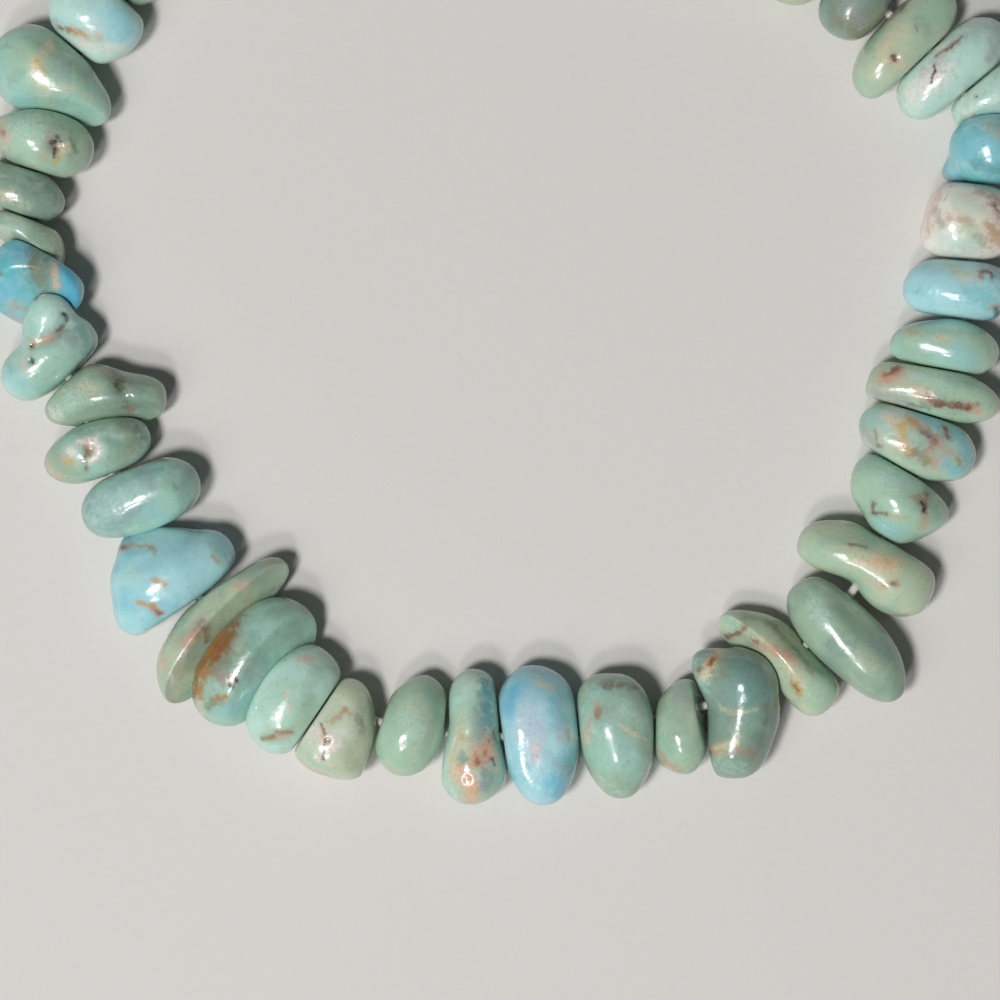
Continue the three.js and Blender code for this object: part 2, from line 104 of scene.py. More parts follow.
# Nuggets seen from above, round the loop from the upper left. x, y: middle. length: along
# the long axis. width: across it, along the thread. turn: the long axis from +X. tilt: rise of
# the outer end. roll: lean about the long axis. taper: fuller (+) or slimmer (-) outer end.
# waist: pinch at the middle. bend: sideways bow. square: 2 is round, more is blocky. seam:
# turn of the seam with the next nugget. over: how far it leans, + where the next lies on top.
FRONT_COLUMNS = ("x", "y", "length", "width", "height", "turn", "tilt", "roll",
                 "taper", "waist", "bend", "square", "seam", "over")
FRONT_ROWS = (
    (-28.6, 21.4, 6.6, 5.5, 5.2, 138, 6, 8, 0, 0, 0, 2.2, 0, 0),
    (-31.7, 17.0, 8.2, 5.3, 5.6, 143, -4, -8, 0.18, 0, 0, 2.2, 20, 25),
    (-32.2, 12.5, 7.4, 4.4, 5.2, 164, 5, 6, -0.05, 0, 0, 2.2, 0, 0),
    (-33.8, 8.9, 6.5, 4.0, 4.7, 164, -6, 12, 0.25, 0, 0, 2.2, 0, 0),
    (-33.6, 5.5, 6.5, 3.7, 4.6, 154, 4, -10, 0, 0, -0.9, 2.2, 0, 15),
    (-32.9, 2.7, 6.8, 6.2, 5.2, 145, 5, 0, 0, 0, 0, 2.1, 0, 55),
    (-31.6, -2.6, 6.2, 3.8, 4.8, 215, 0, 10, 0, 0, 0, 2.2, 27, 0),
    (-27.8, -5.5, 8.0, 4.0, 4.7, 183, -3, 12, -0.05, 0, 0, 2.2, -3, 30),
    (-28.4, -9.1, 7.8, 4.0, 4.8, 199, 4, -6, 0, 0, 0, 2.2, 0, 0),
    (-25.3, -12.5, 8.6, 4.7, 5.0, 201, -3, 8, 0, 0, 0, 2.3, -8, -38),
    (-23.1, -18.0, 7.6, 5.0, 5.6, 214, 3, -6, 0.1, 0, 0, 2.2, -8, 0),
    (-19.8, -21.5, 12.2, 4.0, 5.2, 230, 5, 10, 0.1, 0, -1, 2.2, 2, 35),
    (-17.5, -23.9, 10.5, 6.2, 5.6, 227, -3, 6, 0, 0, 0, 2.2, 5, 38),
    (-14.7, -26.5, 8.3, 5.4, 5.2, 236, 4, -8, 0, 0, 0, 2.3, -8, 0),
    (-11.5, -28.5, 7.2, 5.1, 5.0, 252, -3, 5, 0.33, 0, 0, 2.4, 0, 0),
    (-6.3, -28.4, 7.4, 4.7, 5.0, 250, 5, -8, 0.05, 0, 0, 2.0, 8, 0),
    (-2.1, -29.2, 8.2, 3.6, 4.6, 264, -3, 6, 0.1, 0.1, 0, 2.2, 8, 0),
    (2.5, -29.0, 10.0, 5.6, 5.4, 276, 3, -4, -0.12, 0, 0, 2.15, 0, 0),
    (8.0, -29.1, 8.7, 5.3, 5.3, 276, -3, 6, -0.1, 0, 0, 2.25, 0, 0),
    (12.6, -28.6, 6.9, 4.1, 4.5, 262, 5, -10, 0, 0, 0, 2.1, 20, 12),
    (17.1, -27.5, 7.0, 3.7, 5.0, 263, 3, 5, 0, 0, 0, 2.2, 12, -38),
    (19.5, -23.8, 9.0, 3.0, 4.6, 324, -4, 10, 0, 0, 0.3, 2.2, 0, 30),
    (24.1, -22.4, 11.0, 4.6, 5.1, 313, 4, -10, -0.08, 0, 0, 2.2, 0, 10),
    (25.5, -17.3, 8.8, 3.2, 4.8, 336, -3, 8, 0, 0, 0.7, 2.2, 0, 0),
    (27.7, -12.6, 6.2, 4.4, 5.0, 320, 4, 0, 0, 0, 0, 2.1, 0, 0),
    (29.1, -8.5, 8.5, 4.5, 4.9, 338, -3, 8, 0, 0, 0, 2.3, 0, 0),
    (30.1, -5.1, 9.6, 3.8, 4.8, 348, 4, -8, 0, 0, 0.2, 2.2, 0, 0),
    (31.1, -1.9, 7.5, 3.6, 4.7, 352, -4, 6, 0.15, 0, 0, 2.2, 0, 0),
    (32.0, 2.2, 7.5, 4.2, 5.0, 352, 3, 5, 0.1, 0, 0, 2.2, 0, 0),
    (32.7, 6.9, 6.4, 5.1, 5.2, 355, -3, -5, 0, 0, 0, 2.6, -3, 0),
    (34.0, 11.9, 5.4, 5.2, 5.4, 0, 3, 0, 0, 0, 0, 2.2, -12, -25),
    (34.3, 15.8, 6.5, 3.9, 4.8, 40, -3, 10, 0, 0, 0, 2.3, 0, 0),
    (31.6, 17.8, 9.0, 4.5, 4.9, 39, 4, -10, 0, 0, 0, 2.2, 0, 0),
    (28.1, 19.4, 9.6, 4.1, 5.0, 48, -3, 10, 0, 0, 0, 2.3, 0, 0),
    (24.7, 22.2, 5.6, 4.4, 5.0, 50, 3, 0, 0, 0, 0, 2.2, 0, 0),
    (20.6, 24.4, 4.8, 4.2, 4.7, 68, 0, 6, 0, 0, 0, 2.3, 0, 0),
)

# Broad lobes (+) and dents (-). bearing: from the nugget's middle, round from +X. rise: up
# from level. amount: how far the skin stands out. spread: how wide, in degrees.
LOBE_COLUMNS = ("nugget", "bearing", "rise", "amount", "spread")
LOBE_ROWS = (
    (2, 215, 0, 0.5, 35), (7, 165, 20, -0.3, 26), (8, 40, 18, -0.4, 26),
    (11, 80, 20, -0.3, 25), (15, 320, 0, 0.4, 30), (18, 90, 70, -0.35, 30),
    (19, 125, 0, 0.4, 30), (20, 235, -30, 0.5, 22), (33, 285, 0, 0.4, 30),
)

# Round knobs grown together with the body. right, up, rise: from the nugget's middle.
KNOB_COLUMNS = ("nugget", "right", "up", "rise", "radius")
KNOB_ROWS = (
    (1, 0.3, -2.3, 0, 1.05), (1, 1.5, -0.9, 0.1, 1.7),
    (2, -1.8, 0.9, 0.2, 2.2), (2, 2.6, -2.1, -0.3, 1.6),
    (3, 0.6, -1.5, -0.1, 1.1),
    (6, 1.7, -0.8, 0, 1.7),
    (7, 1.6, 1.4, -0.1, 1.5), (7, -1.8, -1.3, 0, 1.8),
    (7, -0.1, 3.2, 1.0, 1.6), (7, -0.5, 1.8, 0.6, 1.4),
    (8, 2.7, 0.2, 0, 1.55), (8, -0.6, 1.1, 0.2, 1.4), (8, -3.3, -0.9, -0.1, 0.9),
    (11, -2.3, -2.4, 0, 1.75), (11, 2.6, 1.4, 0, 1.75), (11, -2.0, 2.2, 0.1, 1.75),
    (11, -2.3, -0.3, 0, 2.05), (11, 0.2, 1.7, 0, 1.75),
    (12, 3.5, 3.5, 0, 1.35), (12, -2.7, -2.6, 0, 1.7), (12, -2.5, -4.0, 0, 1.55),
    (13, 2.8, 1.3, 0, 1.85),
    (16, -1.3, 0.2, 0, 1.3),
    (17, 0.05, 2.75, 0, 1.85), (17, -0.2, -2.3, 0, 2.2), (17, 0.4, -2.2, 0, 2.1),
    (21, -0.3, 2.2, 0.6, 2.4), (21, -2.9, 3.0, 0.5, 1.6), (21, -0.8, -2.5, 0, 2.1),
    (21, -2.0, -3.0, -0.1, 1.25), (21, -0.3, 0, 0, 2.4),
    (22, -3.2, 2.1, 0, 1.4), (22, -1.6, 1.9, 0.1, 1.45), (22, -0.1, 1.3, 0.1, 1.45),
    (22, 2.2, -2.2, 0, 1.75), (22, 0.9, -0.3, 0.1, 1.6),
    (24, -3.2, 1.5, 0, 1.7), (24, -1.3, 1.7, 0.1, 1.5), (24, 1.0, 0.1, 0.1, 1.7),
    (24, 2.7, -1.2, 0, 2.1), (24, 1.6, -1.5, 0, 2.0),
    (25, -1.6, 1.3, 0, 1.8), (25, 2.3, -1.0, 0, 1.2), (25, -0.3, -1.3, 0, 1.7),
    (26, -2.6, 0.5, 0, 1.6),
    (27, -3.2, 0.4, 0, 1.45),
    (28, 0.9, 0.1, 0, 1.95), (28, -3.1, 0, 0, 0.75),
    (29, -2.4, -0.3, 0, 1.5),
    (30, -2.2, -1.2, 0, 1.25), (30, -0.9, 1.1, 0, 1.45),
    (31, -2.5, -1.6, -1.2, 0.8),
    (33, -2.3, -2.0, 0, 1.55),
)
KNOB_GROWTH = 0.08  # added to every charted radius
KNOB_BLEND = 0.30  # how softly a knob runs into the body
FAR_REACH = 9.0  # past any nugget's skin
HALVINGS = 18  # halvings that find the skin along a ray

# Nuggets of the back, side by side on the arch from the last front nugget to the first.
BACK_COLUMNS = ("run", "length", "width", "height", "lean", "taper", "square")
BACK_ROWS = (
    (1, 6.4, 5.6, 4.9, 3, 0.03, 2.4), (1, 8.6, 6.2, 5.3, -3, -0.05, 2.3),
    (1, 6.8, 5.6, 5.0, 4, 0.05, 2.4), (1, 8.0, 6.0, 5.1, -3, 0, 2.3),
    (2, 7.2, 5.6, 5.0, 4, 0.05, 2.4), (2, 9.0, 6.3, 5.4, -4, -0.05, 2.3),
    (2, 7.6, 5.6, 5.0, 3, 0.05, 2.3), (3, 8.2, 6.1, 5.2, 3, 0.05, 2.3),
    (3, 7.0, 5.9, 5.1, -4, -0.05, 2.4), (3, 6.6, 6.0, 4.9, 3, 0.05, 2.4),
)
# What a nugget has unless its row says otherwise. A front nugget is in run 0.
PLAIN = {"tilt": 0, "roll": 0, "waist": 0, "bend": 0, "seam": 0, "over": 0, "run": 0}

# Flats ground on a nugget by tumbling: bearing and rise as above, depth taken off, softness of
# the edge. Nuggets also get small random ones.
SHAVE_COLUMNS = ("nugget", "bearing", "rise", "depth", "softness")
SHAVE_ROWS = (
    (2, 60, 40, 0.3, 0.2), (10, 290, 55, 0.3, 0.15), (14, 150, 55, 0.3, 0.15),
    (18, 262, 78, 0.45, 0.12), (23, 45, 50, 0.3, 0.15), (32, 130, 50, 0.3, 0.15),
)

# Small pits. right, up: from the nugget's middle, seen from above.
PIT_COLUMNS = ("nugget", "right", "up", "radius", "depth")
PIT_ROWS = (
    (3, 1.2, -0.5, 0.40, 0.35), (7, 1.0, 3.0, 0.20, 0.20), (7, -1.3, -0.3, 0.18, 0.15),
    (7, -1.1, 0.7, 0.24, 0.18), (7, 1.2, 2.3, 0.45, 0.30), (7, 0.8, 1.9, 0.45, 0.26),
    (7, 0.3, 1.5, 0.48, 0.24), (7, -0.2, 1.2, 0.45, 0.20), (7, -0.7, 0.9, 0.40, 0.18),
    (8, 0.7, 1.8, 0.45, 0.24), (8, 1.0, 1.2, 0.48, 0.26), (8, 1.3, 0.5, 0.48, 0.24),
    (8, 1.6, -0.2, 0.48, 0.22), (8, 1.8, -0.9, 0.45, 0.20), (9, -0.3, 0.0, 0.42, 0.28),
    (15, -0.7, -0.8, 0.22, 0.10), (17, 0.6, -1.3, 0.40, 0.12), (17, -0.4, -2.8, 0.35, 0.10),
    (25, 1.4, -0.2, 0.35, 0.12), (29, 1.7, 1.1, 0.20, 0.08), (34, -0.8, -1.3, 0.22, 0.15),
)

# ---- stone pattern ----
CLOUD_SHIFT = (17.0, 5.0, 9.0)  # keeps the clouds apart from the broad patches
SHADE_SHIFT = (3.0, 31.0, 7.0)  # and the darker mottling apart from both
NOISE_MIDDLE = (0.5, 0.5, 0.5)
WANDER = 0.8  # how far the brown web wanders, in millimetres
MARK_WANDER = 0.55  # share of that by which the marks wander
WEB_DULL = 0.2  # how much duller than the polish the web is
RAG_MIDDLE = 0.48
RAG_REACH = 3.8  # how ragged the edge of a mark is, in its half widths
HALO_SHARE = 0.20  # how much of its colour a mark lends to the stone around it
DEEP_SHARE = 0.62  # how dark the dark specks of a mark are
SURFACE_HEIGHT = 0.05  # swells left in the polish
WEAR = 0.12  # how much rougher the worn places of the polish are
FIBRE_HEIGHT = 0.04
BOARD_HEIGHT = 0.02
INWARD_SHARES = (1.0, 0.95, 0.9, 0.8, 0.7, 0.5)  # how far out the end of a mark is tried
DROP_HEIGHT = 20  # height from which it is dropped on the stone
SHORTEST_MARK = 0.02
VALUE, VECTOR, COLOUR = "NodeSocketFloat", "NodeSocketVector", "NodeSocketColor"

# ---- stone tones ----
TONES = {
    "pale_sky": "#b0dfe4", "sky": "#8ccbd6", "deep_sky": "#4fb0d4", "turquoise": "#6cc0c4",
    "aqua": "#a3cdbd", "pale_aqua": "#bfe2d6", "mint": "#abcab0", "sage": "#9fb8a0",
    "pale_sage": "#c0cdb0", "grey_green": "#87a294", "dark_green": "#5c7a70",
    "teal": "#6ea69b", "deep_teal": "#4d8a86", "olive": "#858a70", "dark_olive": "#5f6049",
    "cream": "#dccfaa", "white": "#f0e9df", "pink": "#dcb4a3", "pink_tan": "#cba48c",
    "salmon": "#d8a890", "peach": "#e8b999", "tan": "#bf9d76", "ochre": "#cba55f",
    "gold": "#b67f35", "orange": "#c48650", "rust": "#98644a", "tawny": "#93612f",
    "brown": "#76503a", "dark_brown": "#38261f", "mauve": "#a88c7e", "pearl": "#d8e2cf",
    "lilac": "#c9d3e2", "lilac_grey": "#a5a6a8", "grey_blue": "#8ea9aa", "blue_teal": "#4f9299",
}
# How much duller than the polish a mark of that tone is.
DULL = {"dark_brown": 0.45, "brown": 0.35, "rust": 0.25, "pink": 0.1, "salmon": 0.1}

# The body of each nugget: main tone, second tone, pale clouding, share of the second,
# strength of the brown web.
STONE_COLUMNS = ("main", "second", "cloud", "share", "web")
STONE_ROWS = (
    ("pale_aqua", "pale_sky", "white", 0.45, 0.1), ("aqua", "mint", "grey_blue", 0.45, 0.2),
    ("mint", "sage", "pale_sage", 0.50, 0.4), ("grey_green", "sage", "pale_sage", 0.40, 0.2),
    ("sage", "pale_sage", "grey_green", 0.45, 0.0), ("sky", "turquoise", "pale_sky", 0.45, 0.1),
    ("aqua", "pale_aqua", "pale_sky", 0.45, 0.2), ("sage", "grey_green", "pale_sage", 0.45, 0.1),
    ("aqua", "sage", "pale_aqua", 0.50, 0.2), ("aqua", "grey_blue", "pale_aqua", 0.50, 0.0),
    ("pale_sky", "sky", "pale_aqua", 0.50, 0.0), ("pale_sage", "sage", "tan", 0.50, 0.2),
    ("aqua", "grey_green", "mint", 0.45, 0.2), ("pale_aqua", "mint", "aqua", 0.45, 0.0),
    ("pale_sage", "pearl", "aqua", 0.45, 0.0), ("mint", "sage", "pale_sage", 0.45, 0.0),
    ("pale_aqua", "mint", "cream", 0.50, 0.2), ("pale_sky", "sky", "lilac", 0.50, 0.0),
    ("aqua", "sage", "pale_aqua", 0.50, 0.2), ("sage", "mint", "pale_sage", 0.50, 0.0),
    ("grey_green", "olive", "teal", 0.40, 0.2), ("pale_sage", "mint", "cream", 0.50, 0.3),
    ("sage", "grey_green", "mint", 0.45, 0.0), ("pale_sage", "mint", "cream", 0.50, 0.2),
    ("mint", "aqua", "pale_aqua", 0.45, 0.2), ("aqua", "pale_sage", "lilac", 0.45, 0.4),
    ("mint", "pale_sage", "aqua", 0.45, 0.4), ("aqua", "mint", "pale_aqua", 0.50, 0.1),
    ("pale_sky", "turquoise", "pale_aqua", 0.40, 0.2), ("white", "pale_sage", "pink", 0.40, 0.4),
    ("sky", "turquoise", "pale_aqua", 0.45, 0.0), ("pale_aqua", "mint", "white", 0.40, 0.2),
    ("pale_aqua", "lilac_grey", "white", 0.40, 0.2), ("pale_sage", "mint", "cream", 0.50, 0.1),
    ("grey_green", "olive", "mauve", 0.45, 0.2), ("pale_sage", "sage", "cream", 0.50, 0.1),
    ("aqua", "sage", "pale_aqua", 0.50, 0.1), ("mint", "aqua", "cream", 0.50, 0.3),
    ("sky", "aqua", "pale_aqua", 0.45, 0.1), ("sage", "grey_green", "pale_sage", 0.50, 0.2),
    ("aqua", "teal", "pale_aqua", 0.50, 0.1), ("mint", "sage", "cream", 0.50, 0.3),
    ("teal", "grey_green", "aqua", 0.50, 0.2), ("sage", "mint", "cream", 0.50, 0.2),
    ("aqua", "mint", "white", 0.45, 0.1), ("grey_green", "sage", "pale_sage", 0.50, 0.2),
)

# Marks charted on each nugget: a streak from one place to another, right and up of the
# nugget's middle as seen from above, its half width, its strength and its tone. The widest
# are laid on first.
# A few marks are painted shade or a painted highlight; the comment above each such line says so.
MARK_COLUMNS = ("nugget", "right", "up", "to_right", "to_up", "half", "strength", "tone")
MARK_ROWS = (
    (1, -2.2, -1.1, -1.5, -1.3, 0.24, 0.8, "brown"), (1, -1.4, -1.3, -0.5, -1.7, 0.22, 0.8, "orange"),
    (1, -2.6, -0.9, 0.4, -1.8, 0.40, 0.5, "ochre"), (1, -0.9, -2.2, 0.9, -2.7, 0.50, 0.6, "white"),
    (1, 1.9, 0.4, 2.2, -1.3, 0.80, 0.5, "sky"), (1, 2.6, 0.8, 3.0, -0.6, 0.50, 0.4, "mint"),
    (2, 0.2, 2.8, 0.2, 1.9, 0.28, 0.6, "cream"), (2, 0.2, 1.9, -0.7, 0.8, 0.30, 0.8, "cream"),
    (2, -0.7, 0.8, -0.5, -0.3, 0.30, 0.75, "cream"), (2, -0.5, 0.9, -0.2, 0.3, 0.24, 0.6, "ochre"),
    (2, -0.4, -0.6, 0.1, -1.2, 0.30, 0.6, "cream"), (2, 1.2, -1.0, 1.9, -1.1, 0.22, 0.6, "cream"),
    (2, 2.7, -1.4, 3.1, -1.6, 0.22, 0.5, "cream"), (2, 0.5, 0.3, 1.3, 0.0, 0.55, 0.6, "grey_blue"),
    (2, 1.2, 2.0, 2.8, 0.0, 0.70, 0.5, "grey_green"), (2, -2.4, -1.5, -1.4, -1.8, 0.60, 0.5, "sky"),
    (3, 0.8, -0.3, 1.1, -0.2, 0.16, 0.9, "dark_brown"), (3, 1.3, -0.5, 1.4, -0.5, 0.24, 1.0, "pink"),
    (3, 1.2, 0.1, 1.6, -0.2, 0.13, 0.9, "dark_brown"), (3, 1.9, -0.4, 1.5, -1.1, 0.20, 0.8, "cream"),
    (3, 1.1, -0.7, 1.0, -1.3, 0.14, 0.9, "dark_brown"), (3, 2.1, 0.1, 2.5, -0.9, 0.14, 0.6, "dark_olive"),
    (3, 1.3, -1.3, 1.0, -1.6, 0.18, 0.8, "ochre"), (3, 0.4, -1.1, 0.8, 0.2, 0.42, 0.5, "mauve"),
    (3, 2.2, -0.8, 2.5, -1.7, 0.50, 0.4, "grey_green"), (3, -3.1, 1.1, -2.6, 0.1, 0.50, 0.7, "pink"),
    (3, -2.9, 0.6, -2.6, 0.4, 0.22, 0.7, "rust"), (3, -1.8, 0.9, 0.2, 0.3, 0.90, 0.5, "pale_aqua"),
    (4, -1.7, -0.1, -0.5, -0.5, 0.40, 0.6, "cream"), (4, 0.2, -0.9, 0.8, -1.1, 0.30, 0.5, "pale_sage"),
    (4, 0.8, 0.6, 2.6, -0.4, 0.50, 0.4, "dark_green"), (4, -2.8, 0.6, -2.1, 0.2, 0.50, 0.4, "pale_aqua"),
    (5, -1.5, 1.0, -0.2, 0.8, 0.60, 0.5, "pale_aqua"), (5, 1.0, 0.2, 2.6, -1.6, 0.60, 0.4, "dark_green"),
    (6, 0.4, 2.0, 0.7, 0.8, 0.66, 0.9, "olive"), (6, 0.7, 0.9, 0.9, -0.9, 0.66, 0.9, "olive"),
    (6, 0.2, 1.2, 0.3, 0.3, 0.30, 0.5, "olive"), (6, 1.7, 1.0, 1.8, -0.4, 0.24, 0.9, "peach"),
    (6, 2.6, 0.9, 2.9, -1.4, 0.72, 0.9, "deep_sky"), (6, 2.4, -1.6, 2.6, -2.1, 0.40, 0.6, "blue_teal"),
    (6, -1.8, -0.6, -1.4, -0.2, 0.95, 0.35, "deep_sky"), (6, -1.6, 2.6, -0.6, 2.2, 0.60, 0.4, "deep_sky"),
    (6, -1.4, -1.6, -0.5, -1.9, 0.35, 0.6, "tan"), (6, -2.1, 0.5, -2.0, 0.4, 0.14, 0.8, "brown"),
    (6, 0.0, 0.9, 0.1, 0.7, 0.16, 0.6, "brown"), (6, -2.2, -3.4, -1.3, -4.0, 0.36, 0.5, "pink_tan"),
    (7, -0.4, 4.2, -0.2, 2.6, 0.80, 0.5, "pale_aqua"), (7, -1.0, 4.2, -0.9, 4.1, 0.14, 0.8, "brown"),
    # The first dark brown mark here is painted shadow inside the pit at the top of nugget 7.
    (7, 1.0, 3.0, 1.2, 2.7, 0.20, 0.95, "dark_brown"), (7, 1.2, 2.4, 0.6, 1.7, 0.16, 0.8, "brown"),
    (7, -1.1, 0.9, 0.0, 1.2, 0.30, 0.8, "salmon"), (7, -1.1, 0.8, -1.2, 0.7, 0.14, 0.9, "dark_brown"),
    (7, -1.25, -0.2, -1.2, -0.4, 0.16, 0.95, "dark_brown"), (7, 0.9, 1.5, 1.7, 1.2, 0.50, 0.6, "lilac_grey"),
    (7, 2.2, 1.9, 2.7, 0.6, 0.55, 0.6, "teal"), (7, 0.2, 1.4, 0.7, 1.6, 0.32, 0.6, "olive"),
    (7, -1.8, -0.4, -1.5, -0.9, 0.35, 0.4, "pink"), (7, -3.0, -1.2, -2.1, -2.2, 0.70, 0.5, "sky"),
    (7, 0.2, -1.0, 1.4, 0.2, 0.70, 0.4, "mint"),
    # These two dark olive marks down the crease of nugget 8 are partly the stone's own brown and partly
    # painted shade in the crease.
    (8, 0.6, 2.0, 1.1, 0.9, 0.34, 0.8, "dark_olive"), (8, 1.1, 0.9, 1.7, -0.6, 0.38, 0.9, "dark_olive"),
    (8, 1.7, -0.6, 1.6, -1.4, 0.22, 0.6, "mauve"), (8, 1.9, 1.1, 1.8, -0.9, 0.20, 0.5, "mauve"),
    # The first grey-green mark here is painted shade on the right of that crease.
    (8, 2.2, 1.2, 2.9, -0.6, 0.80, 0.6, "grey_green"), (8, 0.3, 1.4, 0.8, -0.9, 0.60, 0.5, "grey_green"),
    (8, -1.2, 2.4, 0.0, 2.0, 0.30, 0.7, "pink_tan"), (8, -2.8, -0.6, -1.3, 0.6, 0.65, 0.5, "pale_aqua"),
    (8, -3.8, -0.9, -3.3, -1.3, 0.40, 0.5, "white"), (8, -1.6, 0.8, -0.7, 0.5, 0.40, 0.5, "cream"),
    (9, -1.0, 0.5, 0.0, 0.7, 0.22, 1.0, "white"), (9, 0.0, 0.7, 0.4, 0.1, 0.24, 1.0, "white"),
    (9, 0.4, 0.1, 0.1, -0.6, 0.24, 1.0, "white"), (9, 0.1, -0.6, -0.4, -0.8, 0.20, 0.9, "white"),
    (9, -0.5, 0.2, -0.3, -0.3, 0.28, 0.95, "rust"), (9, -0.6, 0.3, -0.2, 0.1, 0.22, 0.8, "salmon"),
    (9, -0.6, -0.5, -0.6, -1.4, 0.12, 0.9, "brown"), (9, -1.8, 0.0, -1.4, -0.3, 0.30, 0.95, "white"),
    (9, -2.2, -0.4, -2.1, -0.6, 0.16, 0.7, "pink"), (9, -2.0, -0.9, -1.6, -0.8, 0.18, 0.8, "ochre"),
    (9, -3.6, -0.7, -2.5, -1.9, 0.36, 0.7, "pink"), (9, 2.0, 1.5, 2.7, 0.6, 0.65, 0.65, "olive"),
    (9, 2.8, 1.6, 3.3, 0.9, 0.30, 0.6, "dark_olive"), (9, 0.7, 1.2, 1.8, 0.9, 0.30, 0.5, "pale_aqua"),
    (9, 0.9, 0.6, 1.7, 0.4, 0.35, 0.6, "teal"), (9, -2.4, 0.9, -1.2, 1.3, 0.35, 0.5, "teal"),
    (10, -0.7, 2.1, 1.6, 2.7, 0.24, 0.6, "mauve"), (10, -2.4, 1.4, -1.0, 2.0, 0.20, 0.6, "pink_tan"),
    (10, -3.7, 0.5, -3.2, 1.1, 0.20, 0.5, "pink"), (10, -2.0, 0.9, 1.5, 2.0, 0.28, 0.5, "teal"),
    (10, -2.8, -0.8, -0.4, 0.2, 0.80, 0.5, "pale_aqua"), (10, 2.2, 1.4, 3.2, 0.4, 0.70, 0.5, "grey_green"),
    (10, 0.6, -0.8, 1.4, -1.2, 0.40, 0.5, "sky"), (10, 2.4, 1.0, 2.6, 0.8, 0.20, 0.5, "dark_green"),
    (11, -3.5, 2.1, -3.3, 2.1, 0.20, 0.95, "rust"), (11, -3.9, 2.0, -3.0, 2.2, 0.28, 0.7, "pink_tan"),
    (11, -2.9, 2.3, -1.3, 2.1, 0.14, 0.7, "tan"), (11, -1.4, 2.1, -1.1, 1.8, 0.18, 0.5, "olive"),
    (11, -0.9, -0.2, -0.4, -0.5, 0.18, 0.9, "tan"), (11, -0.9, -0.3, -0.6, -0.4, 0.30, 0.5, "ochre"),
    (11, -2.2, -1.7, -1.2, -2.0, 0.20, 0.9, "tan"), (11, -1.2, -2.0, -0.7, -2.5, 0.24, 0.9, "orange"),
    (11, -1.0, -2.3, -0.7, -2.5, 0.14, 0.9, "rust"), (11, 2.9, 1.5, 3.2, 1.1, 0.16, 0.7, "tan"),
    (11, 3.0, 2.2, 3.6, 1.4, 0.60, 0.5, "mint"), (11, -2.0, 0.8, 0.6, 1.6, 0.90, 0.4, "sky"),
    (12, 1.3, 3.0, 1.9, 2.9, 0.28, 0.8, "pink"), (12, -1.1, 0.4, -1.4, -0.4, 0.30, 0.85, "mauve"),
    (12, -1.4, -0.4, -2.3, -1.2, 0.34, 0.85, "salmon"), (12, -0.9, 0.0, -0.8, -0.9, 0.26, 0.7, "brown"),
    # The first white mark here is a painted highlight, a streak of lamp light on the lower left of nugget 12.
    (12, -2.3, -1.7, -2.6, -2.0, 0.24, 0.8, "white"), (12, -3.3, -3.2, -3.2, -3.8, 0.18, 0.7, "white"),
    (12, -4.0, -2.0, -3.9, -2.7, 0.28, 0.6, "pink"), (12, 1.8, 3.6, 3.4, 4.6, 0.60, 0.4, "grey_green"),
    (12, -0.6, 0.9, 0.8, 1.4, 0.60, 0.4, "pale_sage"),
    (13, -1.4, 2.7, -2.5, 1.2, 0.80, 1.0, "tawny"), (13, -2.6, 1.2, -3.4, -0.1, 0.76, 1.0, "tawny"),
    (13, -3.6, -0.1, -4.0, -2.0, 0.62, 1.0, "tawny"), (13, -1.5, 1.8, -2.4, 0.6, 0.50, 0.9, "tawny"),
    (13, -1.9, 2.3, -2.9, 0.9, 0.30, 0.7, "gold"), (13, -3.2, -0.6, -3.7, -2.2, 0.34, 0.8, "gold"),
    (13, -2.2, -2.5, -3.0, -3.2, 0.38, 0.85, "olive"), (13, -1.9, -2.4, -2.3, -2.5, 0.26, 0.8, "gold"),
    (13, -3.6, -2.9, -3.5, -3.8, 0.28, 0.6, "cream"), (13, -2.2, -1.0, -1.3, -1.2, 0.38, 0.75, "mauve"),
    (13, -1.1, -1.0, -1.0, -1.2, 0.13, 0.95, "dark_brown"),
    (13, -1.4, -1.5, -1.3, -1.6, 0.15, 0.95, "dark_brown"),
    (13, -0.6, 0.9, -0.5, 0.3, 0.36, 0.6, "olive"), (13, -0.7, 1.5, -0.9, 1.0, 0.28, 0.5, "pale_sage"),
    (13, 0.0, -0.6, 0.4, -0.9, 0.45, 0.6, "lilac_grey"), (13, -1.6, -3.2, -0.4, -2.6, 0.60, 0.5, "sky"),
    # The grey-green mark here is painted shade on the upper right of nugget 13, the side turned from the
    # lamps.
    (13, 0.1, 1.4, 0.8, -0.2, 0.70, 0.4, "teal"), (13, 2.3, 2.2, 3.6, 1.2, 0.70, 0.4, "grey_green"),
    (14, -2.0, -2.7, -1.2, -2.5, 0.21, 0.9, "rust"), (14, -1.0, -2.3, 0.0, -2.2, 0.18, 0.9, "rust"),
    (14, -1.0, -2.7, -0.2, -2.5, 0.18, 0.5, "pink_tan"), (14, 0.6, 2.9, 1.3, 2.8, 0.28, 0.6, "pink"),
    (14, -1.8, 1.2, -0.8, 0.2, 0.80, 0.5, "pale_aqua"), (14, 1.6, 2.0, 1.0, -0.6, 0.50, 0.4, "grey_green"),
    (14, -0.4, 0.4, -0.2, -0.6, 0.16, 0.5, "pink"),
    (15, -1.2, 0.3, -0.8, -0.6, 0.11, 0.95, "rust"), (15, -0.8, -0.6, -0.5, -0.9, 0.13, 0.9, "rust"),
    (15, -0.8, -0.8, -1.0, -2.1, 0.10, 0.95, "brown"), (15, -1.6, -0.2, -0.3, -1.1, 0.55, 0.85, "white"),
    (15, -1.1, -0.4, -0.4, -1.0, 0.26, 0.7, "pink"), (15, -1.5, -2.0, -1.4, -2.1, 0.16, 0.9, "white"),
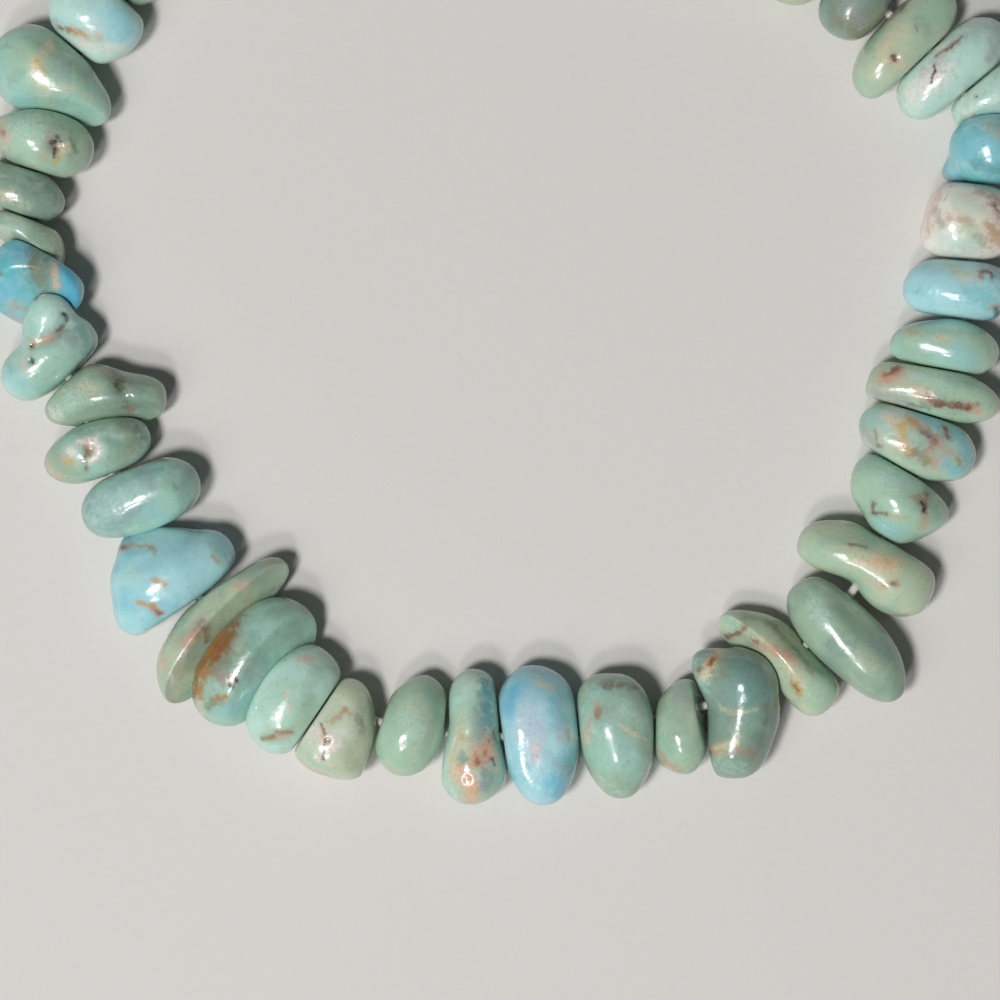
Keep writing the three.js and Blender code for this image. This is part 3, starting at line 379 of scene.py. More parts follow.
    (15, -0.9, -2.0, -0.8, -2.1, 0.14, 0.9, "white"), (15, -0.4, 0.5, 0.1, 0.8, 0.16, 0.6, "tan"),
    (15, 0.1, 0.8, 0.5, 1.3, 0.18, 0.8, "tan"), (15, 0.5, 1.3, 0.9, 1.0, 0.16, 0.7, "tan"),
    (15, 1.5, 0.6, 1.7, 0.0, 0.38, 0.6, "olive"), (15, -2.6, -2.4, -0.9, -3.2, 0.28, 0.6, "pink"),
    (15, 0.6, -1.4, 1.2, -2.6, 0.60, 0.4, "olive"),
    (16, -1.7, -2.9, -1.0, -3.3, 0.26, 0.6, "pink"), (16, 0.0, 1.5, 0.6, 0.9, 0.70, 0.5, "pale_sage"),
    (16, -0.6, 0.6, 0.4, -0.4, 0.50, 0.4, "pale_aqua"), (16, 1.2, 2.4, 1.8, 0.8, 0.50, 0.4, "teal"),
    (17, 0.9, 3.9, 1.0, 1.2, 0.55, 0.9, "blue_teal"), (17, 0.3, 1.6, 0.4, 0.3, 0.50, 0.7, "grey_blue"),
    (17, -0.9, 3.4, -1.2, 1.8, 0.55, 0.4, "pale_aqua"), (17, -0.8, 1.4, -0.6, 0.9, 0.45, 0.5, "pale_sage"),
    (17, -0.9, 0.6, -1.0, -0.5, 0.42, 0.7, "cream"), (17, -1.4, -0.5, -1.5, -2.4, 0.34, 0.7, "cream"),
    (17, -0.7, 0.1, -0.5, 0.0, 0.26, 0.6, "tan"), (17, 1.0, 0.0, 1.1, -0.9, 0.56, 1.0, "peach"),
    (17, 1.1, -0.9, 0.2, -1.5, 0.56, 1.0, "peach"), (17, 0.2, -1.5, -0.9, -2.1, 0.50, 1.0, "peach"),
    (17, -0.7, -2.2, 0.0, -3.4, 0.54, 0.95, "peach"), (17, 0.0, -3.4, -0.1, -4.3, 0.50, 0.9, "peach"),
    (17, 0.3, -1.4, 0.3, -1.6, 0.17, 0.85, "rust"), (17, 0.8, -1.0, 0.9, -1.2, 0.17, 0.8, "rust"),
    (17, 1.0, -0.2, 1.1, -0.3, 0.15, 0.6, "rust"), (17, -0.2, -2.3, -0.1, -2.6, 0.18, 0.7, "orange"),
    (17, -0.7, -1.3, -0.6, -1.5, 0.32, 0.85, "teal"), (17, 0.9, -2.4, 0.9, -3.4, 0.42, 0.9, "grey_blue"),
    (17, 1.4, -1.5, 1.5, -1.7, 0.15, 0.8, "dark_brown"), (17, 1.8, -1.9, 1.9, -2.4, 0.26, 0.6, "cream"),
    (17, -2.3, -1.5, -2.3, -2.9, 0.18, 0.7, "pink"), (17, -1.7, -3.2, -1.4, -3.9, 0.40, 0.5, "pale_aqua"),
    (17, 1.4, 0.5, 1.6, -0.2, 0.16, 0.7, "brown"),
    (18, -1.0, 2.0, -0.6, 0.6, 1.00, 0.7, "lilac"), (18, -0.3, 0.0, -0.2, -1.8, 0.60, 0.6, "lilac"),
    (18, -0.2, -0.8, -0.1, -1.5, 0.35, 0.5, "pink"), (18, 2.0, 0.3, 2.1, -0.2, 0.27, 0.8, "tan"),
    (18, 1.4, 0.4, 1.5, -0.3, 0.18, 0.4, "pink_tan"), (18, 0.0, 3.7, 0.8, 3.3, 0.38, 0.6, "cream"),
    (18, -1.7, 3.2, -2.1, 1.6, 0.50, 0.6, "deep_sky"), (18, 0.9, -3.2, 1.4, -3.9, 0.60, 0.6, "deep_sky"),
    (18, 1.8, 2.4, 2.2, 1.0, 0.50, 0.4, "mint"), (18, 1.2, -1.8, 2.0, -2.6, 0.30, 0.3, "tan"),
    # The brown and olive marks here along the top of nugget 19 are partly the stone's own brown and partly
    # painted shade on the side turned from the lamps.
    (19, -0.8, 3.6, 1.2, 3.4, 0.34, 0.75, "brown"), (19, -0.9, 3.9, 1.4, 3.8, 0.30, 0.5, "olive"),
    (19, -1.4, 1.8, -1.4, 1.6, 0.24, 0.85, "rust"), (19, -1.5, 2.4, -1.4, 2.0, 0.20, 0.5, "tan"),
    (19, -2.0, 1.2, -2.3, 0.0, 0.26, 0.7, "pink_tan"), (19, -2.3, 0.1, -2.2, -0.2, 0.24, 0.6, "cream"),
    (19, 0.1, 0.9, 1.1, 0.2, 0.10, 0.8, "cream"), (19, 0.9, 0.3, 1.3, 0.3, 0.20, 0.6, "pale_sage"),
    (19, 1.1, 0.2, 2.0, -0.2, 0.09, 0.7, "cream"), (19, 0.6, 2.0, 1.7, 1.0, 0.60, 0.5, "pale_aqua"),
    (19, -0.8, 1.6, 0.2, -0.6, 0.80, 0.4, "grey_blue"),
    (20, -1.6, -1.8, -0.8, -2.6, 0.34, 0.8, "pink_tan"), (20, -1.2, -2.3, -0.2, -2.9, 0.28, 0.6, "tan"),
    (20, -0.5, 2.6, 0.2, 1.4, 0.70, 0.4, "lilac_grey"), (20, 0.6, 1.2, 0.6, -0.2, 0.40, 0.4, "pale_sage"),
    (20, -1.2, -0.6, -1.0, -1.4, 0.50, 0.4, "teal"),
    (21, -3.9, 3.4, -3.3, 2.2, 0.70, 0.8, "aqua"), (21, -1.9, 4.4, -2.7, 3.5, 0.36, 1.0, "cream"),
    (21, -2.7, 3.5, -3.2, 2.7, 0.34, 1.0, "cream"), (21, -2.2, 4.1, -2.8, 3.4, 0.20, 0.8, "orange"),
    (21, -2.5, 3.8, -2.7, 3.5, 0.19, 0.9, "brown"), (21, -3.4, 3.2, -3.5, 3.1, 0.18, 0.85, "brown"),
    (21, -0.5, 3.2, 0.3, 1.6, 1.00, 0.5, "deep_teal"), (21, -1.6, 1.8, -1.3, 1.0, 0.40, 0.5, "grey_blue"),
    (21, -1.9, 0.4, -0.6, 0.1, 0.20, 0.7, "pale_sage"), (21, -0.6, 0.1, 0.5, 0.4, 0.16, 0.6, "pale_sage"),
    (21, 0.5, 0.4, 1.4, 0.7, 0.20, 0.7, "olive"), (21, -1.3, 0.3, -0.8, 0.2, 0.16, 0.5, "tan"),
    # The dark green mark here is painted shade on the lower right of nugget 21.
    (21, -1.0, -0.9, 0.4, -0.7, 0.60, 0.5, "sage"), (21, 0.6, -1.6, 1.4, -2.2, 0.50, 0.4, "dark_green"),
    (21, -3.0, -2.9, -2.0, -2.4, 0.30, 0.85, "tan"), (21, -2.0, -2.4, -0.8, -1.9, 0.26, 0.85, "cream"),
    (21, -1.0, -2.4, 0.3, -2.7, 0.30, 0.8, "mauve"), (21, -3.0, -3.0, -2.9, -3.1, 0.18, 0.85, "brown"),
    # The dark green mark here is painted shade on the right flank of nugget 21.
    (21, -1.9, -3.4, -0.4, -3.9, 0.60, 0.6, "mint"), (21, 1.4, -0.2, 1.9, -1.2, 0.50, 0.5, "dark_green"),
    (22, -3.8, 2.9, -3.2, 2.3, 0.60, 0.8, "aqua"), (22, -3.8, 1.5, -3.0, 1.9, 0.20, 0.9, "brown"),
    (22, -3.0, 1.9, -2.6, 2.3, 0.15, 0.85, "rust"), (22, -2.5, 3.1, -0.5, 2.3, 0.34, 0.7, "olive"),
    (22, -0.5, 2.3, 1.0, 0.7, 0.30, 0.5, "olive"), (22, 1.0, 0.7, 2.0, -0.7, 0.30, 0.5, "dark_olive"),
    (22, -2.0, 1.2, -0.5, 0.7, 0.34, 0.85, "pink_tan"), (22, -0.5, 0.7, 0.5, 0.2, 0.34, 0.85, "pink_tan"),
    (22, -2.0, 1.4, -1.8, 1.3, 0.20, 0.85, "rust"), (22, 0.2, 0.5, 0.6, 0.1, 0.22, 0.85, "salmon"),
    (22, 0.3, -0.4, 1.3, -1.4, 0.40, 0.6, "cream"), (22, 0.8, -1.6, 1.1, -2.2, 0.30, 0.85, "ochre"),
    (22, 0.8, -1.7, 1.0, -2.0, 0.17, 0.9, "rust"), (22, 1.9, -2.4, 2.6, -3.0, 0.60, 0.6, "mint"),
    (22, -2.6, 1.6, -2.2, 1.2, 0.30, 0.6, "teal"),
    (23, -2.6, 2.8, -1.8, 1.4, 0.50, 0.5, "pale_aqua"), (23, 0.2, -0.7, 1.6, -1.9, 0.50, 0.5, "pale_sage"),
    (23, -1.2, 2.4, 0.6, 0.4, 0.40, 0.4, "grey_green"), (23, 1.6, 0.2, 2.6, -0.8, 0.50, 0.4, "grey_blue"),
    (24, -0.6, 0.6, 1.8, 0.1, 0.62, 0.8, "cream"), (24, -2.6, 1.3, -0.6, 0.6, 0.50, 0.7, "pale_sage"),
    (24, -1.0, 0.3, 0.4, 0.5, 0.26, 0.4, "pink"), (24, 1.0, 0.6, 1.2, 0.4, 0.22, 0.7, "ochre"),
    (24, 0.6, 0.5, 1.5, 0.4, 0.40, 0.5, "peach"), (24, -1.5, 1.6, -0.2, 1.4, 0.13, 0.7, "dark_olive"),
    (24, -3.2, 1.9, -1.6, 2.0, 0.40, 0.4, "grey_green"), (24, 1.0, -1.3, 1.9, -1.0, 0.16, 0.7, "tan"),
    (24, 1.5, -1.1, 1.7, -1.1, 0.12, 0.9, "brown"), (24, 0.2, -1.0, 0.8, -1.4, 0.30, 0.5, "pink"),
    (24, -3.8, 1.0, -2.4, 0.4, 0.50, 0.4, "mint"), (24, 2.8, -0.6, 3.6, -1.6, 0.60, 0.4, "mint"),
    (25, -1.9, -0.3, -1.9, -0.9, 0.18, 0.95, "brown"), (25, -1.9, -0.9, -1.1, -1.0, 0.14, 0.9, "brown"),
    (25, -1.0, -1.0, 0.5, -1.2, 0.16, 0.5, "ochre"), (25, 0.9, 0.2, 1.7, 0.3, 0.28, 0.8, "mauve"),
    (25, 1.7, 0.3, 1.7, -0.6, 0.24, 0.9, "brown"), (25, 1.5, -0.1, 1.6, -0.7, 0.13, 0.9, "dark_brown"),
    (25, 1.7, -0.6, 1.5, -2.0, 0.32, 0.6, "pink_tan"), (25, -1.6, -1.5, -0.4, -2.4, 0.60, 0.6, "sky"),
    (25, -1.4, 1.8, -0.4, 1.4, 0.60, 0.5, "pale_aqua"), (25, 2.0, 0.2, 2.6, -1.2, 0.50, 0.4, "grey_green"),
    (26, -3.9, 1.0, -3.1, -0.4, 0.38, 0.7, "lilac_grey"), (26, -3.2, 0.7, -2.9, -0.4, 0.14, 0.6, "brown"),
    (26, -2.3, 1.7, -1.4, 1.0, 0.34, 0.85, "cream"), (26, -1.4, 1.0, -1.2, 0.0, 0.34, 0.8, "ochre"),
    (26, -1.4, -0.4, -0.6, -0.9, 0.34, 0.9, "gold"), (26, -0.7, 1.3, -0.3, 1.1, 0.36, 0.85, "orange"),
    (26, -0.2, 1.9, 1.2, 1.0, 0.44, 1.0, "sky"), (26, -0.6, 0.5, -0.4, 0.3, 0.34, 0.7, "aqua"),
    (26, 0.3, 0.8, 0.7, 0.0, 0.36, 0.7, "mauve"), (26, 0.7, 0.0, 1.8, 0.6, 0.36, 0.7, "mauve"),
    (26, 1.0, -0.2, 1.9, -0.7, 0.38, 0.8, "pink_tan"), (26, 1.7, 0.9, 1.9, 0.3, 0.24, 0.8, "brown"),
    (26, 0.4, -0.8, 1.0, -1.5, 0.42, 0.75, "pink_tan"), (26, 0.1, 0.6, 0.5, 0.3, 0.18, 0.7, "brown"),
    (26, 2.7, 0.6, 3.4, -1.1, 0.60, 0.9, "sky"), (26, 1.8, -1.6, 2.6, -2.1, 0.42, 0.8, "sky"),
    (26, 2.6, -1.2, 2.8, -1.5, 0.18, 0.7, "gold"), (26, -0.3, -0.9, 0.3, -1.4, 0.34, 0.7, "olive"),
    (26, 0.9, 0.1, 1.0, -0.1, 0.12, 0.7, "rust"), (26, -2.4, 0.8, -2.0, 0.2, 0.44, 0.6, "aqua"),
    (27, -3.5, 1.0, -2.5, 1.3, 0.50, 0.95, "salmon"), (27, -3.3, 1.3, -2.6, 1.6, 0.22, 0.8, "rust"),
    (27, -2.9, 1.6, -2.5, 1.8, 0.18, 0.7, "brown"), (27, -4.0, -0.1, -1.9, -0.6, 0.38, 0.8, "lilac_grey"),
    (27, -1.9, -0.8, -0.5, -1.1, 0.20, 0.7, "dark_green"), (27, -1.4, 0.1, -0.4, -0.4, 0.30, 0.85, "rust"),
    (27, -0.5, -0.4, 0.4, -0.8, 0.32, 0.95, "brown"), (27, 0.4, -0.8, 1.6, -1.0, 0.32, 0.95, "brown"),
    (27, 1.6, -1.0, 2.3, -1.1, 0.26, 0.9, "brown"), (27, 2.3, -1.0, 3.0, -1.3, 0.28, 0.9, "salmon"),
    (27, 2.0, -1.2, 2.9, -0.9, 0.12, 0.7, "brown"), (27, 0.9, 1.0, 2.4, 0.5, 0.40, 0.4, "grey_green"),
    (27, -1.6, 1.2, 0.4, 0.8, 0.50, 0.5, "pale_aqua"), (27, -1.4, 0.2, -0.9, 0.1, 0.22, 0.6, "cream"),
    (28, -0.8, 0.6, -0.3, 0.5, 0.32, 0.7, "cream"), (28, -2.8, 1.2, -2.2, 0.9, 0.28, 0.6, "tan"),
    (28, 0.4, -0.5, 1.3, -0.9, 0.60, 0.6, "sky"), (28, -1.4, 1.4, 1.6, 1.4, 0.50, 0.5, "pale_aqua"),
    (28, -3.2, -0.2, -1.6, -0.6, 0.40, 0.3, "grey_green"),
    (29, -0.9, 1.5, 0.0, 0.8, 0.38, 0.7, "pale_sage"), (29, 0.0, 0.8, 1.0, 0.7, 0.34, 0.6, "cream"),
    (29, 1.1, 1.1, 1.3, 0.6, 0.16, 0.9, "mauve"), (29, 1.4, 1.1, 1.9, 1.0, 0.15, 0.85, "rust"),
    (29, 1.9, 1.0, 2.0, 0.5, 0.14, 0.85, "brown"), (29, 2.3, -1.5, 2.5, -1.9, 0.20, 0.9, "dark_brown"),
    (29, 2.0, -1.3, 2.7, -1.4, 0.24, 0.6, "tan"), (29, -3.0, 0.4, -1.4, -0.4, 0.70, 0.5, "pale_sky"),
    (29, 1.4, 1.6, 2.4, 1.2, 0.40, 0.6, "grey_blue"), (29, 0.2, -0.4, 1.6, -0.8, 0.60, 0.6, "turquoise"),
    (30, -1.7, 0.1, -0.5, -0.2, 0.26, 0.7, "pink_tan"), (30, 1.2, -0.7, 1.8, -1.6, 0.50, 0.8, "tan"),
    (30, 1.0, -0.6, 1.5, -1.0, 0.28, 0.6, "tan"), (30, 1.3, 1.0, 1.7, 0.4, 0.30, 0.85, "mauve"),
    (30, 1.5, 0.9, 1.6, 0.6, 0.15, 0.8, "brown"), (30, 0.7, 1.9, 1.9, 1.2, 0.40, 0.7, "mauve"),
    (30, -1.9, -1.4, -0.2, -1.9, 0.70, 0.7, "pale_aqua"), (30, -2.6, 0.9, -2.3, -0.4, 0.30, 0.5, "olive"),
    (30, -3.0, 0.6, -3.1, -0.6, 0.20, 0.6, "pink"), (30, -1.2, 1.3, 0.0, 1.0, 0.60, 0.5, "pale_aqua"),
    (30, 0.2, -1.3, 0.8, -1.7, 0.35, 0.5, "olive"),
    (31, -0.4, 1.6, 0.6, 0.9, 0.45, 0.8, "pale_sage"), (31, -3.0, -1.3, -2.7, -2.0, 0.34, 0.8, "grey_blue"),
    (31, -1.7, 1.6, -0.8, 1.6, 0.40, 0.6, "pale_sky"), (31, -1.0, -1.2, 0.8, -1.6, 0.60, 0.6, "deep_teal"),
    (31, -2.4, 0.8, -2.1, -0.2, 0.50, 0.6, "turquoise"),
    (32, -1.3, -0.3, -1.4, -1.5, 0.10, 0.9, "brown"), (32, -1.7, -1.4, -1.2, -2.0, 0.40, 0.5, "white"),
    (33, -1.6, -0.1, -1.6, -0.6, 0.09, 0.95, "dark_brown"),
    (33, -1.6, -0.6, -1.8, -1.4, 0.09, 0.95, "dark_brown"),
    (33, -1.4, 0.6, -0.5, 1.1, 0.20, 0.85, "rust"), (33, -0.5, 1.1, 0.3, 1.8, 0.18, 0.85, "brown"),
    (33, -3.4, -2.1, -1.6, -0.9, 0.70, 0.8, "white"), (33, -1.6, -0.6, -0.6, -0.2, 0.40, 0.5, "white"),
    (33, 0.6, 1.6, 1.2, 0.9, 0.50, 0.4, "pale_aqua"),
    (34, -1.0, -1.2, -0.9, -1.4, 0.18, 0.95, "dark_brown"), (34, -1.0, -1.3, -0.8, -1.5, 0.38, 0.7, "salmon"),
    (34, -0.3, 2.2, -0.1, 2.5, 0.26, 0.8, "brown"), (34, -1.9, -1.0, -0.7, 0.6, 0.40, 0.6, "cream"),
    (34, 0.5, 0.9, 0.7, 0.6, 0.15, 0.6, "dark_green"), (34, 0.8, 1.6, 1.4, 0.4, 0.40, 0.4, "grey_green"),
    (35, -0.9, -0.2, 0.2, -1.4, 0.60, 0.6, "lilac_grey"), (35, 0.4, 1.2, 1.0, 0.4, 0.50, 0.4, "teal"),
)

# Every chart that lists things on single nuggets, by the key that a nugget's row gets for it.
CHARTS = {
    "lobes": (LOBE_COLUMNS, LOBE_ROWS), "knobs": (KNOB_COLUMNS, KNOB_ROWS),
    "shaves": (SHAVE_COLUMNS, SHAVE_ROWS), "pits": (PIT_COLUMNS, PIT_ROWS),
    "marks": (MARK_COLUMNS, MARK_ROWS),
}

# ---- stage ----
VIEW_MIDDLE = (-0.41, -13.9, 2.5)  # the place that the camera looks at and the lamps face
SENSOR = 36.0  # width of the camera's sensor
NEAR_CLIP = 0.01  # in metres
ROOM_TONE = (0.72, 0.74, 0.78, 1)
ROOM_STRENGTH = 0.10

# Lamps: bearing and rise of the lamp from the view's middle, distance and side in metres,
# power in watts, and whether its own shape shows in the polish.
LAMP_COLUMNS = ("name", "bearing", "rise", "distance", "side", "power", "shows")
LAMP_ROWS = (
    ("main_lamp", 215, 68, 0.75, 0.14, 3.3, True),
    ("low_lamp", 248, 56, 0.8, 0.11, 1.0, True),
    ("soft_lamp", 225, 50, 0.9, 0.55, 1.5, False),
)


# ---- settings ----


def linear(hex_tone):
    """Scene-linear red, green, blue and alpha of a tone written as #rrggbb."""
    parts = [int(hex_tone[i:i + 2], 16) / 255 for i in (1, 3, 5)]
    return tuple(p / 12.92 if p <= 0.04045 else ((p + 0.055) / 1.055) ** 2.4 for p in parts) + (1.0,)


class StoneFinish(bpy.types.PropertyGroup):
    """Shape and polish of the nuggets."""
    detail: IntProperty(name="Detail", description="Subdivisions of a front nugget", default=6,
                        min=3, max=6)
    back_detail: IntProperty(name="Back detail", description="Subdivisions of a back nugget",
                             default=5, min=3, max=6)
    lump: FloatProperty(name="Lump", description="Height of the uneven swells, in millimetres",
                        default=0.16)
    roughness: FloatProperty(name="Roughness", description="Roughness of the polish", default=0.17,
                             min=0, max=1, subtype="FACTOR")
    coat: FloatProperty(name="Coat", description="Clear gloss on the polish", default=0.35,
                        min=0, max=1, subtype="FACTOR")
    depth: FloatProperty(name="Depth", description="Light that enters the stone", default=0.06,
                         min=0, max=1, subtype="FACTOR")


class ThreadFinish(bpy.types.PropertyGroup):
    """The elastic thread."""
    tint: FloatVectorProperty(name="Tint", description="Colour of the thread", subtype="COLOR",
                              default=linear("#ece2dc")[:3], min=0, max=1)
    knot_thread: FloatProperty(name="Knot thread", description="Radius of the thread in the knot",
                               default=0.00024, unit="LENGTH", subtype="DISTANCE")


class StageSettings(bpy.types.PropertyGroup):
    """Table and camera."""
    table: FloatVectorProperty(name="Table", description="Colour of the table", subtype="COLOR",
                               default=linear("#dcd8d4")[:3], min=0, max=1)
    table_size: FloatProperty(name="Table size", description="Side of the table", default=1.2,
                              unit="LENGTH", subtype="DISTANCE")
    height: FloatProperty(name="Camera height", description="Camera above the view's middle",
                          default=0.3, unit="LENGTH", subtype="DISTANCE")
    view_width: FloatProperty(name="View width", description="Width seen at the view's middle",
                              default=0.07, unit="LENGTH", subtype="DISTANCE")


# ---- shapes ----


def named(columns, row):
    """A chart's row with each value under its column's name."""
    return dict(zip(columns, row))


def unit(turn, rise=0.0):
    """The direction at a turn from +X and a rise from level, both in degrees."""
    turn, rise = math.radians(turn), math.radians(rise)
    return np.array([math.cos(turn) * math.cos(rise), math.sin(turn) * math.cos(rise), math.sin(rise)])


def turned(points, axis, angle):
    """Points turned about a world axis by degrees."""
    return points @ np.array(Matrix.Rotation(math.radians(angle), 3, axis)).T


def arch_points(last, first):
    """Points along the plain arch of the back, and the length reached at each."""
    ends = [(last["x"], last["y"]), ARCH_HANDLE_RIGHT, ARCH_HANDLE_LEFT, (first["x"], first["y"])]
    a, b, c, d = (np.array(p) for p in ends)
    t = np.linspace(0, 1, ARCH_STEPS + 1)[:, None]
    points = a * (1 - t) ** 3 + 3 * b * t * (1 - t) ** 2 + 3 * c * t ** 2 * (1 - t) + d * t ** 3
    steps = np.linalg.norm(np.diff(points, axis=0), axis=1)
    return points, np.concatenate([[0], np.cumsum(steps)])


def back_nuggets(last, first):
    """The nuggets of the back, side by side along the arch, with room for the knot."""
    rows = [named(BACK_COLUMNS, row) for row in BACK_ROWS]
    points, lengths = arch_points(last, first)

    def place_at(length):
        return np.array([np.interp(length, lengths, points[:, i]) for i in (0, 1)])

    widths = sum(row["width"] for row in rows) + (last["width"] + first["width"]) / 2
    packing = (lengths[-1] - KNOT_ROOM) / widths
    reached = packing * last["width"] / 2
    for row, after in zip(rows, rows[1:] + [None]):
        middle = reached + packing * row["width"] / 2
        row["x"], row["y"] = place_at(middle)
        along = place_at(middle + ARCH_LOOK) - place_at(middle - ARCH_LOOK)
        row["turn"] = math.degrees(math.atan2(along[1], along[0])) - 90 + row["lean"]
        reached += packing * row["width"]
        if after and row["run"] == KNOT_AFTER_RUN and after["run"] != KNOT_AFTER_RUN:
            reached += KNOT_ROOM
    return rows


def strand():
    """Every nugget in order round the loop, with its stone and all that the charts give it."""
    front = [named(FRONT_COLUMNS, row) for row in FRONT_ROWS]
    rows = [{**PLAIN, **row} for row in front + back_nuggets(front[-1], front[0])]
    for number, row in enumerate(rows, 1):
        row["number"] = number
        row["x"] -= LOOP_MIDDLE[0]
        row["y"] -= LOOP_MIDDLE[1]
        row["axis"] = unit(row["turn"])
        row.update(named(STONE_COLUMNS, STONE_ROWS[number - 1]))
        for key, (columns, chart) in CHARTS.items():
            row[key] = [named(columns, entry) for entry in chart if entry[0] == number]
    return rows


def node_of(row):
    """The node that a nugget belongs to: its own in front, and that of its run at the back."""
    return f"back_run_{row['run']}" if row["run"] else f"nugget_{row['number']:02d}"


def pushed_out(row, points):
    """Broad lobes and dents, each a smooth swell about its direction."""
    for lobe in row["lobes"]:
        toward = unit(lobe["bearing"] - row["turn"], lobe["rise"])
        cosine = points @ toward / np.linalg.norm(points, axis=1)
        off = np.degrees(np.arccos(np.clip(cosine, -1, 1))) / lobe["spread"]
        points = points + np.outer(lobe["amount"] * np.exp(-off * off), toward)
    return points


def knobbed(row, points):
    """The body and its round knobs as one smooth skin, found by halving along each ray."""
    if not row["knobs"]:
        return points
    reach = np.linalg.norm(points, axis=1)
    toward = points / reach[:, None]
    balls = []
    for knob in row["knobs"]:
        offset = turned(np.array([[knob["right"], knob["up"], knob["rise"]]]), "Z", -row["turn"])[0]
        balls.append((toward @ offset, offset @ offset, knob["radius"] + KNOB_GROWTH))
    inner, outer = np.zeros(len(points)), np.full(len(points), FAR_REACH)
    for _ in range(HALVINGS):
        half_way = (inner + outer) / 2
        skin = np.exp((reach - half_way) / KNOB_BLEND)
        for along, far, radius in balls:
            away = np.sqrt(half_way ** 2 - 2 * half_way * along + far) - radius
            skin += np.exp(-away / KNOB_BLEND)
        inner, outer = np.where(skin > 1, half_way, inner), np.where(skin > 1, outer, half_way)
    return toward * inner[:, None]


def held_back(points, normal, limit, softness):
    """Points drawn back smoothly to their own side of a plane."""
    distance = points @ normal
    held = limit - softness * np.logaddexp(0, (limit - distance) / softness)
    return points + np.outer(held - distance, normal)


def tumbled(row, points, lump):
    """Uneven swells and soft flats, as tumbling leaves them."""
    draw = random.Random(row["number"])
    shift = Vector([draw.uniform(-SWELL_SHIFT, SWELL_SHIFT) for _ in range(3)])
    swell = np.array([noise.noise(Vector(p) * SWELL_SCALE + shift)
                      + FINE_SHARE * noise.noise(Vector(p) * FINE_SCALE + shift) for p in points])
    points = points * (1 + lump * swell / np.linalg.norm(points, axis=1))[:, None]
    flats = [(unit(s["bearing"] - row["turn"], s["rise"]), s["depth"], s["softness"])
             for s in row["shaves"]]
    for _ in range(RANDOM_FLATS):
        facing = unit(draw.uniform(0, 360), draw.uniform(*FLAT_RISE))
        flats.append((facing, draw.uniform(*FLAT_DEPTH), draw.uniform(*FLAT_SOFTNESS)))
    for normal, depth, softness in flats:
        points = held_back(points, normal, (points @ normal).max() - depth, softness)
    return points


def nugget_ball(detail):
    """A ball of even triangles, as a bmesh."""
    mesh = bmesh.new()
    bmesh.ops.create_icosphere(mesh, subdivisions=detail, radius=1)
    return mesh


def raw_points(row, ball, lump):
    """Points of the unit ball carried to the nugget's surface, about its middle."""
    k = row["square"]
    norm = (np.abs(ball) ** k).sum(axis=1) ** (-1 / k)
    u = ball[:, 0] * norm
    pinch = (1 + row["taper"] * u) * (1 - row["waist"] * (1 - u * u) ** 2)
    points = np.stack([
        u * row["length"] / 2,
        ball[:, 1] * norm * pinch * FULLNESS * row["width"] / 2 + row["bend"] * (0.5 - u * u),
        ball[:, 2] * norm * (1 + HEIGHT_TAPER * row["taper"] * u) * row["height"] / 2], axis=1)
    points = turned(turned(points, "X", row["roll"]), "Y", -row["tilt"])
    return tumbled(row, knobbed(row, pushed_out(row, points)), lump)


def seam_plane(row, after):
    """The plane between two neighbours, half way through what they share."""
    across = turned((row["axis"] + after["axis"])[None], "Z", row["seam"])[0]
    across /= np.linalg.norm(across)
    normal = np.array([across[1], -across[0], 0])
    apart = after["middle"] - row["middle"]
    if normal @ apart < 0:
        normal = -normal
    over = math.radians(row["over"])
    normal = np.array([normal[0] * math.cos(over), normal[1] * math.cos(over), math.sin(over)])
    reach = ((row["points"] - row["middle"]) @ normal).max()
    back_reach = -((after["points"] - after["middle"]) @ normal).min()
    shared = reach + back_reach - apart @ normal
    return normal, row["middle"] @ normal + reach - shared / 2


def pitted(row, points):
    """Small pits pressed into the upper side."""
    for pit in row["pits"]:
        away = np.hypot(points[:, 0] - row["x"] - pit["right"], points[:, 1] - row["y"] - pit["up"])
        upper = points[:, 2] > row["middle"][2]
        points[:, 2] -= upper * pit["depth"] * np.exp(-(away / pit["radius"]) ** 2)
    return points


def eased(rows, planes, softness):
    """Every nugget held to its own side of the two planes it shares, and above the table."""
    for i, row in enumerate(rows):
        normal, offset = planes[i]
        back_normal, back_offset = planes[i - 1]
        points = held_back(row["points"], normal, offset - GAP / 2, softness)
        points = held_back(points, -back_normal, -back_offset - GAP / 2, softness)
        points[:, 2] = np.maximum(points[:, 2], 0)
        row["points"] = points


def set_points(row):
    """The nugget's mesh takes the nugget's points."""
    for vertex, point in zip(row["mesh"].verts, row["points"]):
        vertex.co = point


def polished(row):
    """The nugget's points with every edge smoothed away, as polishing does."""
    mesh = row["mesh"]
    set_points(row)
    for _ in range(SMOOTH_PASSES):
        bmesh.ops.smooth_vert(mesh, verts=mesh.verts, factor=SMOOTH_FACTOR,
                              use_axis_x=True, use_axis_y=True, use_axis_z=True)
    return np.array([v.co for v in mesh.verts])


def shaped_loop(finish):
    """All nuggets with their finished points, in order, each eased off its neighbours."""
    rows = strand()
    for row in rows:
        row["mesh"] = nugget_ball(finish.back_detail if row["run"] else finish.detail)
        ball = np.array([v.co for v in row["mesh"].verts])
        points = raw_points(row, ball, finish.lump)
        row["middle"] = np.array([row["x"], row["y"], -points[:, 2].min() - REST_SINK])
        row["points"] = turned(points, "Z", row["turn"]) + row["middle"]
    planes = [seam_plane(row, rows[(i + 1) % len(rows)]) for i, row in enumerate(rows)]
    eased(rows, planes, SEAM_SOFTNESS)
    for row in rows:
        row["points"] = pitted(row, polished(row))
    eased(rows, planes, LAST_SOFTNESS)
    for row in rows:
        set_points(row)
    return rows


